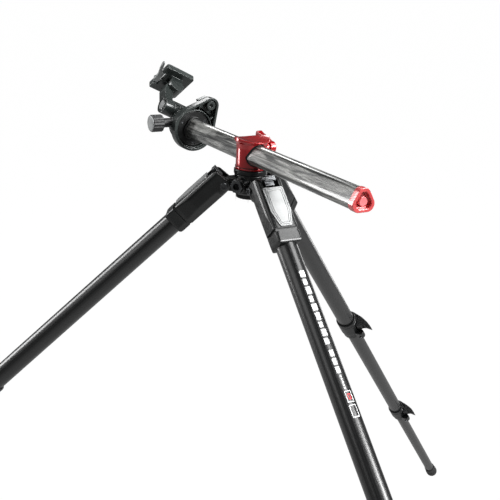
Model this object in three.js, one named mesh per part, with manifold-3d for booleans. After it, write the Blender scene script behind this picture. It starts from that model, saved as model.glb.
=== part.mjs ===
// Tripod with a horizontal sliding centre column and a three-way camera head.
// Millimetres, +Z up. Origin on the floor, in the middle of the box round the three feet;
// +X runs along the column towards its red end cap. Legs stand 45 degrees from the vertical.
// The crown's frame has its origin where the spider's vertical axis meets the column axis.
import * as THREE from "three";
import { mergeVertices } from "three/addons/utils/BufferGeometryUtils.js";
import Module from "manifold-3d";

const wasm = await Module();
wasm.setup();

// ------------------------------------------------------------ driving dimensions
const DEG = Math.PI / 180;
const AXIS_HEIGHT = 993.2; // column axis above the floor
const AXIS_X = -245.554; // the spider's vertical axis, from the middle of the footprint
const GAP = 0.3; // running clearance between neighbouring pieces
const TURNING_GAP = GAP + 0.1; // radial clearance of the hub's bore and the level ring

// legs: in a leg's frame X runs down the leg, Z points out and up, Y is sideways
const LEG = { azimuths: [0, 120, -120], spread: 45, originR: 37.3, originZ: -35.4 };
const HINGE = { x: 3.75, z: -7, pinRadius: 3, holeRadius: 3.35 }; // in the leg's frame
const TUBES = {
  upper: { outerDia: 29.2, innerDia: 26.2, from: 20.4, to: 478 },
  middle: { outerDia: 24.8, innerDia: 22, from: 444, to: 901 },
  lower: { outerDia: 20.4, innerDia: 17.4, from: 877, to: 1331 },
};
const TUBE_SEGMENTS = 20;
const FOOT = { radius: 13, neckRadius: 11.8, from: 1306, end: 1350 };
const TRIM_Z = 16.5; // underside of the trim plate
// from, step, waist, to and leverX are stations down the leg
const LOCKS = [
  {
    name: "upper", from: 460, step: 478.6, waist: 496, to: 512, radius: 17.4, waistRadius: 16.2,
    outerTube: TUBES.upper, innerTube: TUBES.middle, leverX: 481, finReach: 47,
  },
  {
    name: "lower", from: 892, step: 901.6, waist: 925, to: 940, radius: 15.2, waistRadius: 13.6,
    outerTube: TUBES.middle, innerTube: TUBES.lower, leverX: 911, finReach: 42,
  },
];
const LEVER = { halfWidth: 9.5, pinZ: 7, pinOffset: 2, earHalf: 10.2, slotHalf: 5.6, knuckleHalf: 5.2 };

// column: rounded triangle, one corner up
const COLUMN = { corner: 5, radius: 9.6, wall: 1.8, from: -180.2, to: 252 };
const PLUG_OFFSET = -COLUMN.wall - GAP; // a plug inside the tube, from the tube's outline
const CAP = { corner: 6, radius: 9.9, to: 262 };
const HEAD_PLATE = { radius: 26.8, back: -185.4, front: -181, holeCircle: 21.5, holeRadius: 2.6 };
const STUD = { radius: 4.76, holeRadius: 5.1, from: -197, to: -168 };

// collar and spider
const COLLAR = { radius: 21, bottom: -20, top: 26, rim: 24.5, saddleZ: 19.2, saddleRadius: 74 };
const COLLAR_OPENING = 2.1; // from the column's outline
const HUB = { radius: 22, top: -27.4, bottom: -55, neckRadius: 16.6, neckTop: -20.4 };
const SPIGOT_RADIUS = 13.9;
const BOSS = { azimuth: -60, z: -40 }; // accessory boss
const LEVEL = { bottom: -27, top: -20.7, vialX: -26.5, vialRadius: 4.2 };
const CLAMP = { z: 7, holeRadius: 3.3 }; // clamp screw axis, parallel to Y

// head
const FLANGE = { radius: 33.5, lobeRadius: 12, lobeAt: 44, lobeDeg: 51.5, front: -176, back: -190 };
const PAN_LOCK = { x: -202, z: 7 }; // axis parallel to Y
const PAN_DEG = -25; // turn of the head about the column
const TILT_AXIS = { x: -233, z: 14, holeRadius: 5.4 };
const TILT_DEG = -45;
const ROLL = { y: -21, z: 40 }; // roll axis in the tilt frame, parallel to X
const PLATE = { length: 48, width: 42, corner: 4 };

// ------------------------------------------------------------ materials
const paint = ({ color, roughness, metalness }) =>
  new THREE.MeshStandardMaterial({ color, roughness, metalness, flatShading: true });
const MAT = {
  blackCast: paint({ color: 0x1b1d1e, roughness: 0.42, metalness: 0.35 }),
  silver: paint({ color: 0xc9ccce, roughness: 0.3, metalness: 0.9 }),
  carbon: paint({ color: 0x17191a, roughness: 0.3, metalness: 0.25 }),
  columnCarbon: paint({ color: 0x9a9c9b, roughness: 0.35, metalness: 0.3 }),
  blackPlastic: paint({ color: 0x141516, roughness: 0.5, metalness: 0 }),
  rubber: paint({ color: 0x101010, roughness: 0.85, metalness: 0 }),
  steel: paint({ color: 0xb4b7ba, roughness: 0.28, metalness: 1 }),
  red: paint({ color: 0xb0101c, roughness: 0.25, metalness: 0.3 }),
  vial: paint({ color: 0xc9e04a, roughness: 0.08, metalness: 0 }),
  greyCast: paint({ color: 0x6f7375, roughness: 0.4, metalness: 0.6 }),
};

// ------------------------------------------------------------ solids
const join = (...parts) => parts.reduce((whole, part) => whole.add(part));
const cut = (body, ...tools) => tools.reduce((rest, tool) => rest.subtract(tool), body);

// Closed solid from a geometry: vertices welded, collapsed triangles dropped, faces outward.
function solid(geometry, matrix) {
  const bare = new THREE.BufferGeometry();
  bare.setAttribute("position", geometry.getAttribute("position"));
  bare.setIndex(geometry.index);
  bare.applyMatrix4(matrix);
  const welded = mergeVertices(bare, 1e-4);
  const index = welded.index.array;
  const build = (flip) => {
    const triangles = [];
    for (let i = 0; i < index.length; i += 3) {
      const [a, b, c] = index.subarray(i, i + 3);
      if (a === b || b === c || a === c) continue;
      triangles.push(...(flip ? [a, c, b] : [a, b, c]));
    }
    const vertProperties = new Float32Array(welded.attributes.position.array);
    const triVerts = new Uint32Array(triangles);
    return new wasm.Manifold(new wasm.Mesh({ numProp: 3, vertProperties, triVerts }));
  };
  const made = build(false);
  return made.volume() < 0 ? build(true) : made;
}

function addMesh(parent, name, made, material) {
  const { numVert, numProp, vertProperties, triVerts } = made.getMesh();
  const positions = new Float32Array(numVert * 3);
  for (let i = 0; i < numVert; i++) {
    positions.set(vertProperties.subarray(i * numProp, i * numProp + 3), i * 3);
  }
  const geometry = new THREE.BufferGeometry();
  geometry.setAttribute("position", new THREE.BufferAttribute(positions, 3));
  geometry.setIndex(new THREE.BufferAttribute(new Uint32Array(triVerts), 1));
  geometry.computeVertexNormals();
  const mesh = new THREE.Mesh(geometry, material);
  mesh.name = name;
  parent.add(mesh);
}

const move = (x, y, z) => new THREE.Matrix4().makeTranslation(x, y, z);
const turnX = (degrees) => new THREE.Matrix4().makeRotationX(degrees * DEG);
const turnZ = (degrees) => new THREE.Matrix4().makeRotationZ(degrees * DEG);

// bases that send a drawing plane (u, v) and its depth to the part's axes
function basis(u, v, depth, origin) {
  const axes = [u, v, depth].map((axis) => new THREE.Vector3(...axis));
  return new THREE.Matrix4().makeBasis(...axes).setPosition(...origin);
}
// (u, v) = (y, z), depth runs to +x
const alongX = (x) => basis([0, 1, 0], [0, 0, 1], [1, 0, 0], [x, 0, 0]);
// (u, v) = (x, z), depth runs to -y
const alongY = (y, x = 0, z = 0) => basis([1, 0, 0], [0, 0, 1], [0, -1, 0], [x, y, z]);
// (u, v) = (x, y), depth runs to +z
const alongZ = (z, y = 0) => move(0, y, z);

function prism(points, depth, matrix) {
  const shape = new THREE.Shape(points.map(([u, v]) => new THREE.Vector2(u, v)));
  return solid(new THREE.ExtrudeGeometry(shape, { depth, bevelEnabled: false }), matrix);
}
// profile of [radius, z] turned about Z, then placed by the matrix
function turned(profile, segments, matrix = new THREE.Matrix4()) {
  const points = profile.map(([radius, z]) => new THREE.Vector2(radius, z));
  return solid(new THREE.LatheGeometry(points, segments), matrix.clone().multiply(turnX(90)));
}
// cylinder along an axis; c1 and c2 are its centre on the other two axes, in x, y, z order
function rod(axis, radius, from, to, segments, c1 = 0, c2 = 0, turn = new THREE.Matrix4()) {
  const middle = (from + to) / 2;
  const place = {
    x: () => turnZ(-90).setPosition(middle, c1, c2),
    y: () => move(c1, middle, c2),
    z: () => turnX(90).setPosition(c1, c2, middle),
  }[axis]();
  const geometry = new THREE.CylinderGeometry(radius, radius, to - from, segments);
  return solid(geometry, turn.clone().multiply(place));
}
const box = (size, matrix) => solid(new THREE.BoxGeometry(...size), matrix);
const span = (half, centre = 0) => [centre - half, centre + half];
function block(...ranges) {
  const size = ranges.map(([from, to]) => to - from);
  return box(size, move(...ranges.map(([from, to]) => (from + to) / 2)));
}

// ------------------------------------------------------------ outlines
function arc(cx, cy, radius, fromDeg, toDeg, steps) {
  return Array.from({ length: steps + 1 }, (_, i) => {
    const angle = (fromDeg + ((toDeg - fromDeg) * i) / steps) * DEG;
    return [cx + radius * Math.cos(angle), cy + radius * Math.sin(angle)];
  });
}
const mirrored = (half) => [...half, ...half.map(([u, v]) => [u, -v]).reverse()];

// rounded triangle with one corner up, extruded along X
function trianglePrism(corner, radius, from, to) {
  const outline = [90, 210, 330].flatMap((a) =>
    arc(corner * Math.cos(a * DEG), corner * Math.sin(a * DEG), radius, a - 60, a + 60, 5),
  );
  return prism(outline, to - from, alongX(from));
}
const columnPrism = (offset, from, to) =>
  trianglePrism(COLUMN.corner, COLUMN.radius + offset, from, to);

// outline round the flange's circle and its lobe's circle
function flangeOutline(inset, lobeInset) {
  const { lobeAt, lobeDeg } = FLANGE;
  const main = FLANGE.radius - inset;
  const lobe = FLANGE.lobeRadius - lobeInset;
  const tangent = Math.acos((main - lobe) / lobeAt) / DEG;
  const lobeY = lobeAt * Math.cos(lobeDeg * DEG);
  const lobeZ = lobeAt * Math.sin(lobeDeg * DEG);
  return [
    ...arc(0, 0, main, lobeDeg + tangent, lobeDeg + 360 - tangent, 18),
    ...arc(lobeY, lobeZ, lobe, lobeDeg - tangent, lobeDeg + tangent, 8),
  ];
}
// knob outline: two points on the crest, then two in the valley
const fluted = (count, crest, valley, startDeg) =>
  Array.from({ length: count }, (_, i) => {
    const radius = i % 4 < 2 ? crest : valley;
    const angle = ((i * 360) / count + startDeg) * DEG;
    return [radius * Math.cos(angle), radius * Math.sin(angle)];
  });

// ------------------------------------------------------------ spider
const bossRod = (radius, from, to, segments) =>
  rod("x", radius, from, to, segments, 0, BOSS.z, turnZ(BOSS.azimuth));

// hub and neck, three hinge tongues and the accessory boss
function spiderCasting() {
  const cos = Math.cos(LEG.spread * DEG);
  const sin = Math.sin(LEG.spread * DEG);
  const pivotR = LEG.originR + HINGE.x * cos + HINGE.z * sin;
  const pivotZ = LEG.originZ - HINGE.x * sin + HINGE.z * cos;
  const tongueWidth = 23;
  const { radius, bottom, top, neckRadius, neckTop } = HUB;
  let casting = turned(
    [
      [0, bottom], [19.5, bottom], [radius, bottom + 3], [radius, top],
      [neckRadius, top], [neckRadius, neckTop], [0, neckTop],
    ],
    28,
  );
  const tongue = [[12, -52], ...arc(pivotR, pivotZ, 8, -100, 95, 8), [12, -32]];
  for (const azimuth of LEG.azimuths) {
    const turn = turnZ(azimuth);
    const place = turn.clone().multiply(alongY(tongueWidth / 2));
    casting = casting.add(prism(tongue, tongueWidth, place));
    casting = casting.subtract(rod("y", HINGE.holeRadius, -14, 14, 12, pivotR, pivotZ, turn));
  }
  return cut(
    casting.add(bossRod(10.5, 12, 33, 18)),
    bossRod(8.35, 24, 40, 18),
    rod("z", SPIGOT_RADIUS + TURNING_GAP, -70, 0, 28),
  );
}

// bush with a hexagonal flange
const accessorySocket = () =>
  cut(join(bossRod(8, 24.4, 34.5, 18), bossRod(9.6, 33.3, 36.5, 6)), bossRod(4.9, 20, 40, 16));

// ring round the hub's neck, with a cup for the vial on its -X side
function levelRing() {
  const { bottom, top, vialX } = LEVEL;
  const cupRadius = 5.6;
  return cut(
    join(
      rod("z", 23, bottom, top, 28),
      block([vialX, -18], span(cupRadius), [bottom, top]),
      rod("z", cupRadius, bottom, top, 20, vialX),
    ),
    rod("z", HUB.neckRadius + TURNING_GAP, -30, -18, 28),
    rod("z", LEVEL.vialRadius + GAP, -25.6, -18, 16, vialX),
  );
}

function levelVial() {
  const r = LEVEL.vialRadius;
  const profile = [[0, -25.2], [r, -25.2], [r, -21.2], [3.1, -20.3], [0, -19.9]];
  return turned(profile, 16, move(LEVEL.vialX, 0, 0));
}

// ------------------------------------------------------------ collar
const clampRod = (radius, from, to, segments) =>
  rod("y", radius, from, to, segments, 0, CLAMP.z);

// sleeve with its turning spigot below, saddle above and clamp boss on the +Y side
function collarSleeve() {
  const { radius, bottom, top, rim, saddleZ, saddleRadius } = COLLAR;
  const spigotBottom = -58;
  const body = turned(
    [
      [0, spigotBottom], [SPIGOT_RADIUS, spigotBottom], [SPIGOT_RADIUS, bottom],
      [radius + 0.6, bottom], [radius + 0.6, bottom + 2.5], [radius, bottom + 3.2],
      [radius, 11], [radius + 0.8, 15], [radius + 2.3, 18], [rim, 19.5], [rim, top], [0, top],
    ],
    32,
  );
  const opening = columnPrism(COLLAR_OPENING, -40, 40);
  const hollowed = cut(
    body,
    rod("x", saddleRadius, -40, 40, 64, 0, saddleZ + saddleRadius),
    opening,
    rod("z", 10.8, -70, 0, 28),
  );
  const boss = cut(clampRod(7.5, 15, 24, 24), opening);
  return cut(hollowed.add(boss), clampRod(CLAMP.holeRadius, 8, 40, 16));
}

function collarLiner() {
  const envelope = rod("z", COLLAR.radius - 0.2, -30, 30, 44);
  return cut(
    columnPrism(COLLAR_OPENING - GAP, -25, 25).intersect(envelope),
    columnPrism(0.4, -30, 30),
    clampRod(CLAMP.holeRadius, 5, 40, 16),
  );
}

const retainingNut = () =>
  cut(rod("z", 18.5, -60.5, -55.4, 24), rod("z", SPIGOT_RADIUS + GAP + 0.15, -70, -50, 28));

const clampScrew = () => join(clampRod(3, 15.2, 29, 16), clampRod(5, 24.4, 26, 6));

// hub round the screw, arm swept towards -X, round grip at its end
function clampLever() {
  const outline = [
    ...arc(0, CLAMP.z, 8, -100, 60, 10),
    [-4, 15.5], [-16, 19.5], [-27, 21.5], [-33, 23.6], [-37, 21.5], [-37.5, 16.5],
    [-33, 13.6], [-25, 12.4], [-14, 8], [-7, 2.5],
  ];
  const [inside, outside] = [27, 34]; // the arm's faces, in y
  return cut(
    join(
      prism(outline, outside - inside, alongY(outside)),
      rod("y", 5, inside, outside, 16, -33.5, 18.6),
      clampRod(8, 26.4, 34.5, 24),
    ),
    clampRod(CLAMP.holeRadius, 20, 29.6, 16),
  );
}

// ------------------------------------------------------------ sliding column
const columnTube = () =>
  cut(columnPrism(0, COLUMN.from, COLUMN.to), columnPrism(-COLUMN.wall, -230, 270));

// cap with a recessed end face, a plug into the tube and a hole for the button
function columnEndCap() {
  return cut(
    join(
      trianglePrism(CAP.corner, CAP.radius, COLUMN.to + GAP, CAP.to),
      columnPrism(PLUG_OFFSET, COLUMN.to - 16, COLUMN.to + 2),
    ),
    trianglePrism(5.2, 6.4, CAP.to - 5.5, CAP.to + 4.5),
    trianglePrism(3, 4.1, COLUMN.to - 30, COLUMN.to + 30),
  );
}

const releaseButton = () =>
  join(
    trianglePrism(3, 3.7, CAP.to - 16, CAP.to - 1),
    rod("x", 2.2, CAP.to - 40, CAP.to - 15.5, 12),
  );

// disc with a sleeve and a plug that hold the tube's -X end between them
function columnHeadPlate() {
  const { radius, back, front, holeCircle, holeRadius } = HEAD_PLATE;
  const plate = join(
    rod("x", radius, back, front, 28),
    columnPrism(3.2, front, -177),
    columnPrism(PLUG_OFFSET, front, -163),
  );
  const tubeSlot = cut(columnPrism(GAP, -180.5, -170.5), columnPrism(PLUG_OFFSET, -190, -160));
  const screwHoles = [30, 150, 270].map((angle) => {
    const y = holeCircle * Math.cos(angle * DEG);
    const z = holeCircle * Math.sin(angle * DEG);
    return rod("x", holeRadius, -183.4, -170, 8, y, z);
  });
  return cut(plate, tubeSlot, rod("x", STUD.holeRadius, -200, -150, 20), ...screwHoles);
}

const mountingStud = () => rod("x", STUD.radius, STUD.from, STUD.to, 20);

// ------------------------------------------------------------ head
const panLockRod = (radius, from, to, segments) =>
  rod("y", radius, from, to, segments, PAN_LOCK.x, PAN_LOCK.z);
const tiltRod = (radius, from, to, segments) =>
  rod("y", radius, from, to, segments, TILT_AXIS.x, TILT_AXIS.z);

// teardrop flange hollowed from its +X face, drum on its -X face
function headBase() {
  const { front, back, lobeAt, lobeDeg } = FLANGE;
  const lobeY = lobeAt * Math.cos(lobeDeg * DEG);
  const lobeZ = lobeAt * Math.sin(lobeDeg * DEG);
  const body = join(
    prism(flangeOutline(0, 0), front - back, alongX(back)),
    rod("x", 24.5, -214, back + 1, 28),
  );
  // the hollow leaves a ring round the axis and a boss in the lobe
  const hollow = cut(
    prism(flangeOutline(4, 3.6), 12, alongX(-185.8)),
    cut(rod("x", 29.3, -190, -178, 28), rod("x", 27.6, -200, -170, 28)),
    rod("x", 7, -190, -177.5, 16, lobeY, lobeZ),
  );
  // radial webs outside the ring, either side of the lobe
  const webs = [-24, 24].map((offset) =>
    box([8, 9, 1.8], turnX(lobeDeg + offset).multiply(move(-182.5, 31.5, 0))),
  );
  const drilled = cut(
    join(cut(body, hollow), ...webs),
    rod("x", 2.9, -200, -170, 10, lobeY, lobeZ),
    rod("x", STUD.holeRadius, -205, -170, 20),
    rod("x", 8.5, -220, -199, 24),
    panLockRod(3.3, -30, -12, 16),
  );
  // lug on the -X side of the lobe
  return drilled.add(box([9, 15, 7], move(-193.5, 19, 41).multiply(turnX(18))));
}

// fluted knob on the drum's -Y side
const panLockKnob = () =>
  join(
    prism(fluted(48, 13, 12, 3), 17, alongY(-44, PAN_LOCK.x, PAN_LOCK.z)),
    panLockRod(11.8, -62.5, -60, 24),
    panLockRod(7, -45, -25.2, 20),
    panLockRod(2.9, -26, -13, 12),
  );

// disc and spindle about the column axis, carrying the tilt housing
const panBody = () =>
  cut(
    join(
      rod("x", 24, -218.6, -214.4, 28),
      rod("x", 8.1, -215, -200.2, 24),
      tiltRod(13, -23.6, 17, 24),
      block([TILT_AXIS.x, -217], span(13), [-6, TILT_AXIS.z + 9]),
    ),
    tiltRod(TILT_AXIS.holeRadius, -40, 40, 20),
  );

// fluted knob on the housing's +Y end
const tiltLockKnob = () =>
  cut(
    join(
      prism(fluted(36, 12, 11.1, 0), 13, alongY(33, TILT_AXIS.x, TILT_AXIS.z)),
      tiltRod(8, 17.4, 21, 20),
    ),
    tiltRod(TILT_AXIS.holeRadius, 10, 24.4, 20),
  );

// pieces in the tilt frame: X along the roll axis, Y along the tilt axis
const rollRod = (radius, from, to, segments) =>
  rod("x", radius, from, to, segments, ROLL.y, ROLL.z);
// cylinder on the camera screw's axis, heights taken from the roll axis
const screwRod = (radius, from, to, segments) =>
  rod("z", radius, ROLL.z + from, ROLL.z + to, segments, 0, ROLL.y);

// end drum on the tilt shaft, stem, roll bearing
function tiltArm() {
  const halfWidth = 8.5;
  const stem = [
    [-38.6, 0], [-25.5, 0], [-24.6, 14], [-24, 30],
    [-20, 34], [-26, 44], [-33.5, 42], [-38.6, 30],
  ];
  return cut(
    join(
      rod("y", 13, -39, -24, 28),
      rod("y", 5.1, -26, 24, 20),
      prism(stem, 2 * halfWidth, alongX(-halfWidth)),
      rollRod(12, -halfWidth, halfWidth, 24),
    ),
    rollRod(6.4, -20, 20, 20),
  );
}

function plateClamp() {
  const { y, z } = ROLL;
  const cheek = [8.9, 15.5];
  return cut(
    join(
      rollRod(12, ...cheek, 28),
      rollRod(6.1, -12.5, 9.5, 20),
      rollRod(9, -15, -12, 20),
      block(cheek, span(10, y), [z, z + 15]),
      block(span(27), span(25, y), [z + 12.4, z + 21]),
    ),
    // seat for the plate, open on top, with a well for the camera screw's head
    block(span(PLATE.length / 2 + GAP), span(PLATE.width / 2 + GAP, y), [z + 16.9, z + 30]),
    screwRod(9.5, 14.4, 30, 24),
    // notch for the lever
    block([-14, 12.6], [y - 30, y - 17], [z + 10, z + 30]),
  );
}

function quickPlate() {
  const { y, z } = ROLL;
  const { length, width, corner } = PLATE;
  const outline = [[1, 1], [-1, 1], [-1, -1], [1, -1]].flatMap(([sx, sy], i) =>
    arc(sx * (length / 2 - corner), sy * (width / 2 - corner), corner, 90 * i, 90 * i + 90, 4),
  );
  return cut(
    prism(outline, 7.5, alongZ(z + 17.2, y)),
    screwRod(3.5, 0, 40, 16),
    screwRod(9.2, 10, 20.4, 24),
    block([-14, 13], [y - 30, y - 17], [z, z + 21]),
  );
}

const cameraScrew = () => join(screwRod(8.8, 17.4, 20, 24), screwRod(3.17, 19, 30, 16));

// flat lever on the clamp's -Y side, with its pivot square to the plate
function plateLever() {
  const { y, z } = ROLL;
  const bottom = z + 12.6;
  // [x, y from the roll axis]
  const blade = [
    [-11.6, -20], [-11.6, -27], [4, -28.5], [18, -34], [30, -37],
    [32, -34], [18, -29], [11.6, -26], [11.6, -23], [-4, -20],
  ];
  return join(
    prism(blade, 4.4, alongZ(bottom, y)),
    rod("z", 4, bottom, z + 19.5, 16, -7, y - 24),
  );
}

// ------------------------------------------------------------ legs, in the leg's frame
const hingeRod = (radius, from, to, segments) =>
  rod("y", radius, from, to, segments, HINGE.x, HINGE.z);
const tubeBore = (tube, from, to) =>
  rod("x", tube.outerDia / 2 + GAP, from, to, TUBE_SEGMENTS);

// side profile and plan crossed, slot for the tongue, bore for the tube
function legYoke() {
  const side = [
    ...arc(HINGE.x, HINGE.z, 9, 170, 268, 6), [14, -17], [95, -17],
    [95, 16.4], [74, 17.4], [5, 17.4], [-0.4, 15.4], [-3.1, 11.2],
  ];
  const plan = mirrored([[-8, -20], [52, -20], [74, -18.4], [95, -17.4]]);
  const trimSeat = mirrored([[13.5, -17.3], [50, -17.3], [69, -11.3], [72.3, -9.3]]);
  const chamfers = [-1, 1].map((sign) =>
    prism([[sign * 21, -5], [sign * 21, -18], [sign * 11.5, -18]], 90, alongX(16)),
  );
  return cut(
    prism(side, 50, alongY(25)).intersect(prism(plan, 60, alongZ(-30))),
    block([-12, 14], span(12.2), span(40)),
    tubeBore(TUBES.upper, 20, 110),
    hingeRod(HINGE.holeRadius, -30, 30, 12),
    ...chamfers,
    prism(trimSeat, 10, alongZ(TRIM_Z - GAP)),
  );
}

const trimPlate = () =>
  prism(mirrored([[14, -17], [50, -17], [68.7, -11], [72, -9]]), 2.3, alongZ(TRIM_Z));

const angleStop = () =>
  join(block([-2.5, 9.2], span(7), [3.5, 15]), block([-2.5, 4], span(9), [13, 19.4]));

const hingePin = () =>
  join(
    hingeRod(HINGE.pinRadius, -21, 21, 12),
    hingeRod(5.2, 20.4, 22.4, 14),
    hingeRod(5.2, -22.4, -20.4, 14),
  );

const legTube = ({ outerDia, innerDia, from, to }) =>
  cut(
    rod("x", outerDia / 2, from, to, TUBE_SEGMENTS),
    rod("x", innerDia / 2, from - 5, to + 5, TUBE_SEGMENTS),
  );

// stepped collar round a tube joint, with ears for the lever's pin and the tension screw
function lockBody(lock) {
  const { from, step, waist, to, radius, waistRadius, leverX } = lock;
  const { pinZ, slotHalf } = LEVER;
  const pinY = radius + LEVER.pinOffset;
  const ears = span(LEVER.earHalf, leverX);
  const slot = span(slotHalf, leverX);
  const screwEar = [leverX + LEVER.halfWidth + 1.2, to - 4];
  const profile = [
    [0, from], [radius, from], [radius, waist - 2],
    [waistRadius, waist + 2], [waistRadius, to], [0, to],
  ];
  return cut(
    join(
      turned(profile, 20, alongX(0)),
      cut(
        join(
          rod("x", 4.6, ...ears, 14, pinY, pinZ),
          block(ears, [pinY - 9, pinY], [pinZ - 4.6, pinZ + 2]),
        ),
        block(slot, [pinY - 4.9, pinY + 8], span(8, pinZ)),
      ),
      rod("x", 6, ...screwEar, 14, -radius - 5, -5),
      block(screwEar, [-radius - 5, -radius + 4], [-11, 1]),
    ),
    tubeBore(lock.outerTube, from - 5, step),
    tubeBore(lock.innerTube, step - 5, to + 5),
    rod("x", 2.4, ...span(20, leverX), 10, pinY, pinZ),
    // pocket for the lever's knuckle
    rod("x", 4.8, ...slot, 14, pinY, pinZ),
  );
}

// over-centre lever: wraps the outer side and ends in a fin that stands off the tube
function lockLever({ radius, leverX, finReach }) {
  const { halfWidth, pinZ, knuckleHalf } = LEVER;
  const pinY = radius + LEVER.pinOffset;
  const inner = radius + 0.7;
  const outer = radius + 4;
  const scale = finReach / LOCKS[0].finReach;
  // [y, z]
  const section = [
    [pinY - 1.6, pinZ - 3], [pinY + 3.4, pinZ - 2.4], [pinY + 4.4, pinZ + 1.5],
    [pinY + 2.2, pinZ + 6],
    ...arc(0, 0, outer, 42, 112, 5),
    [-22 * scale, outer * 0.76], [-34 * scale, 10.6], [-42 * scale, 5.2], [-finReach, 0.8],
    [-41 * scale, 1.6], [-34 * scale, 2.6], [-27.5 * scale, 1.2],
    [-radius - 4.4, -3.4], [-radius - 1, -3.6],
    ...arc(0, 0, inner, 189, 36, 10),
  ];
  // [y, x from the lever's middle]: the fin narrows towards its tip
  const plan = mirrored([[-60, -2.5], [-34, -6.5], [-16, -halfWidth], [40, -halfWidth]]);
  const planBasis = basis([0, 1, 0], [1, 0, 0], [0, 0, -1], [leverX, 0, 40]);
  const pinRod = (rodRadius, from, to, segments) =>
    rod("x", rodRadius, leverX + from, leverX + to, segments, pinY, pinZ);
  const blade = cut(
    prism(section, 2 * halfWidth, alongX(leverX - halfWidth))
      .intersect(prism(plan, 80, planBasis)),
    pinRod(5.3, -20, -knuckleHalf, 14),
    pinRod(5.3, knuckleHalf, 20, 14),
  );
  const knuckle = cut(
    pinRod(4.4, -knuckleHalf, knuckleHalf, 14),
    rod("x", inner, ...span(30, leverX), 24),
  );
  return join(blade, knuckle, pinRod(2.1, -LEVER.earHalf, LEVER.earHalf, 10));
}

// domed foot, its sole flattened where it meets the floor
function rubberFoot() {
  const { radius, neckRadius, from, end } = FOOT;
  const profile = [
    [0, from], [neckRadius, from], [neckRadius, from + 14], [radius, from + 18],
    ...arc(0, end - radius, radius, 0, 90, 3).slice(0, -1), [0, end],
  ];
  const floorToLeg = move(LEG.originR, 0, LEG.originZ + AXIS_HEIGHT)
    .multiply(new THREE.Matrix4().makeRotationY(LEG.spread * DEG))
    .invert();
  const footX = LEG.originR + end * Math.cos(LEG.spread * DEG);
  return cut(
    turned(profile, 20, alongX(0)),
    tubeBore(TUBES.lower, from - 5, TUBES.lower.to + GAP),
    box([120, 120, 40], floorToLeg.multiply(move(footX, 0, -20))),
  );
}

// ------------------------------------------------------------ assembly
const tripod = new THREE.Group();
const crown = new THREE.Group();
crown.position.set(AXIS_X, 0, AXIS_HEIGHT);
tripod.add(crown);

addMesh(crown, "spider_casting", spiderCasting(), MAT.blackCast);
addMesh(crown, "accessory_socket", accessorySocket(), MAT.steel);
addMesh(crown, "level_ring", levelRing(), MAT.blackPlastic);
addMesh(crown, "level_vial", levelVial(), MAT.vial);
addMesh(crown, "collar_sleeve", collarSleeve(), MAT.red);
addMesh(crown, "collar_liner", collarLiner(), MAT.blackPlastic);
addMesh(crown, "retaining_nut", retainingNut(), MAT.blackPlastic);
addMesh(crown, "clamp_screw", clampScrew(), MAT.steel);
addMesh(crown, "clamp_lever", clampLever(), MAT.red);
addMesh(crown, "column_tube", columnTube(), MAT.columnCarbon);
addMesh(crown, "column_end_cap", columnEndCap(), MAT.red);
addMesh(crown, "release_button", releaseButton(), MAT.red);
addMesh(crown, "column_head_plate", columnHeadPlate(), MAT.greyCast);
addMesh(crown, "mounting_stud", mountingStud(), MAT.steel);
addMesh(crown, "head_base", headBase(), MAT.blackCast);
addMesh(crown, "pan_lock_knob", panLockKnob(), MAT.blackPlastic);

const head = new THREE.Group();
head.rotation.x = PAN_DEG * DEG;
crown.add(head);
addMesh(head, "pan_body", panBody(), MAT.blackCast);
addMesh(head, "tilt_lock_knob", tiltLockKnob(), MAT.blackPlastic);

const tilt = new THREE.Group();
tilt.position.set(TILT_AXIS.x, 0, TILT_AXIS.z);
tilt.rotation.y = TILT_DEG * DEG;
head.add(tilt);
addMesh(tilt, "tilt_arm", tiltArm(), MAT.blackCast);
addMesh(tilt, "plate_clamp", plateClamp(), MAT.blackCast);
addMesh(tilt, "quick_plate", quickPlate(), MAT.silver);
addMesh(tilt, "camera_screw", cameraScrew(), MAT.steel);
addMesh(tilt, "plate_lever", plateLever(), MAT.silver);

// the three legs share these solids
const legPieces = [
  ["yoke", legYoke(), MAT.blackCast],
  ["trim_plate", trimPlate(), MAT.silver],
  ["angle_stop", angleStop(), MAT.steel],
  ["hinge_pin", hingePin(), MAT.steel],
  ...Object.entries(TUBES).map(([name, tube]) => [`${name}_tube`, legTube(tube), MAT.carbon]),
  ...LOCKS.flatMap((lock) => [
    [`${lock.name}_lock`, lockBody(lock), MAT.blackPlastic],
    [`${lock.name}_lever`, lockLever(lock), MAT.blackPlastic],
  ]),
  ["foot", rubberFoot(), MAT.rubber],
];
LEG.azimuths.forEach((azimuth, i) => {
  const turn = new THREE.Group();
  turn.rotation.z = azimuth * DEG;
  crown.add(turn);
  const leg = new THREE.Group();
  leg.position.set(LEG.originR, 0, LEG.originZ);
  leg.rotation.y = LEG.spread * DEG;
  turn.add(leg);
  for (const [name, made, material] of legPieces) {
    addMesh(leg, `leg_${i + 1}_${name}`, made, material);
  }
});

export default tripod;
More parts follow.
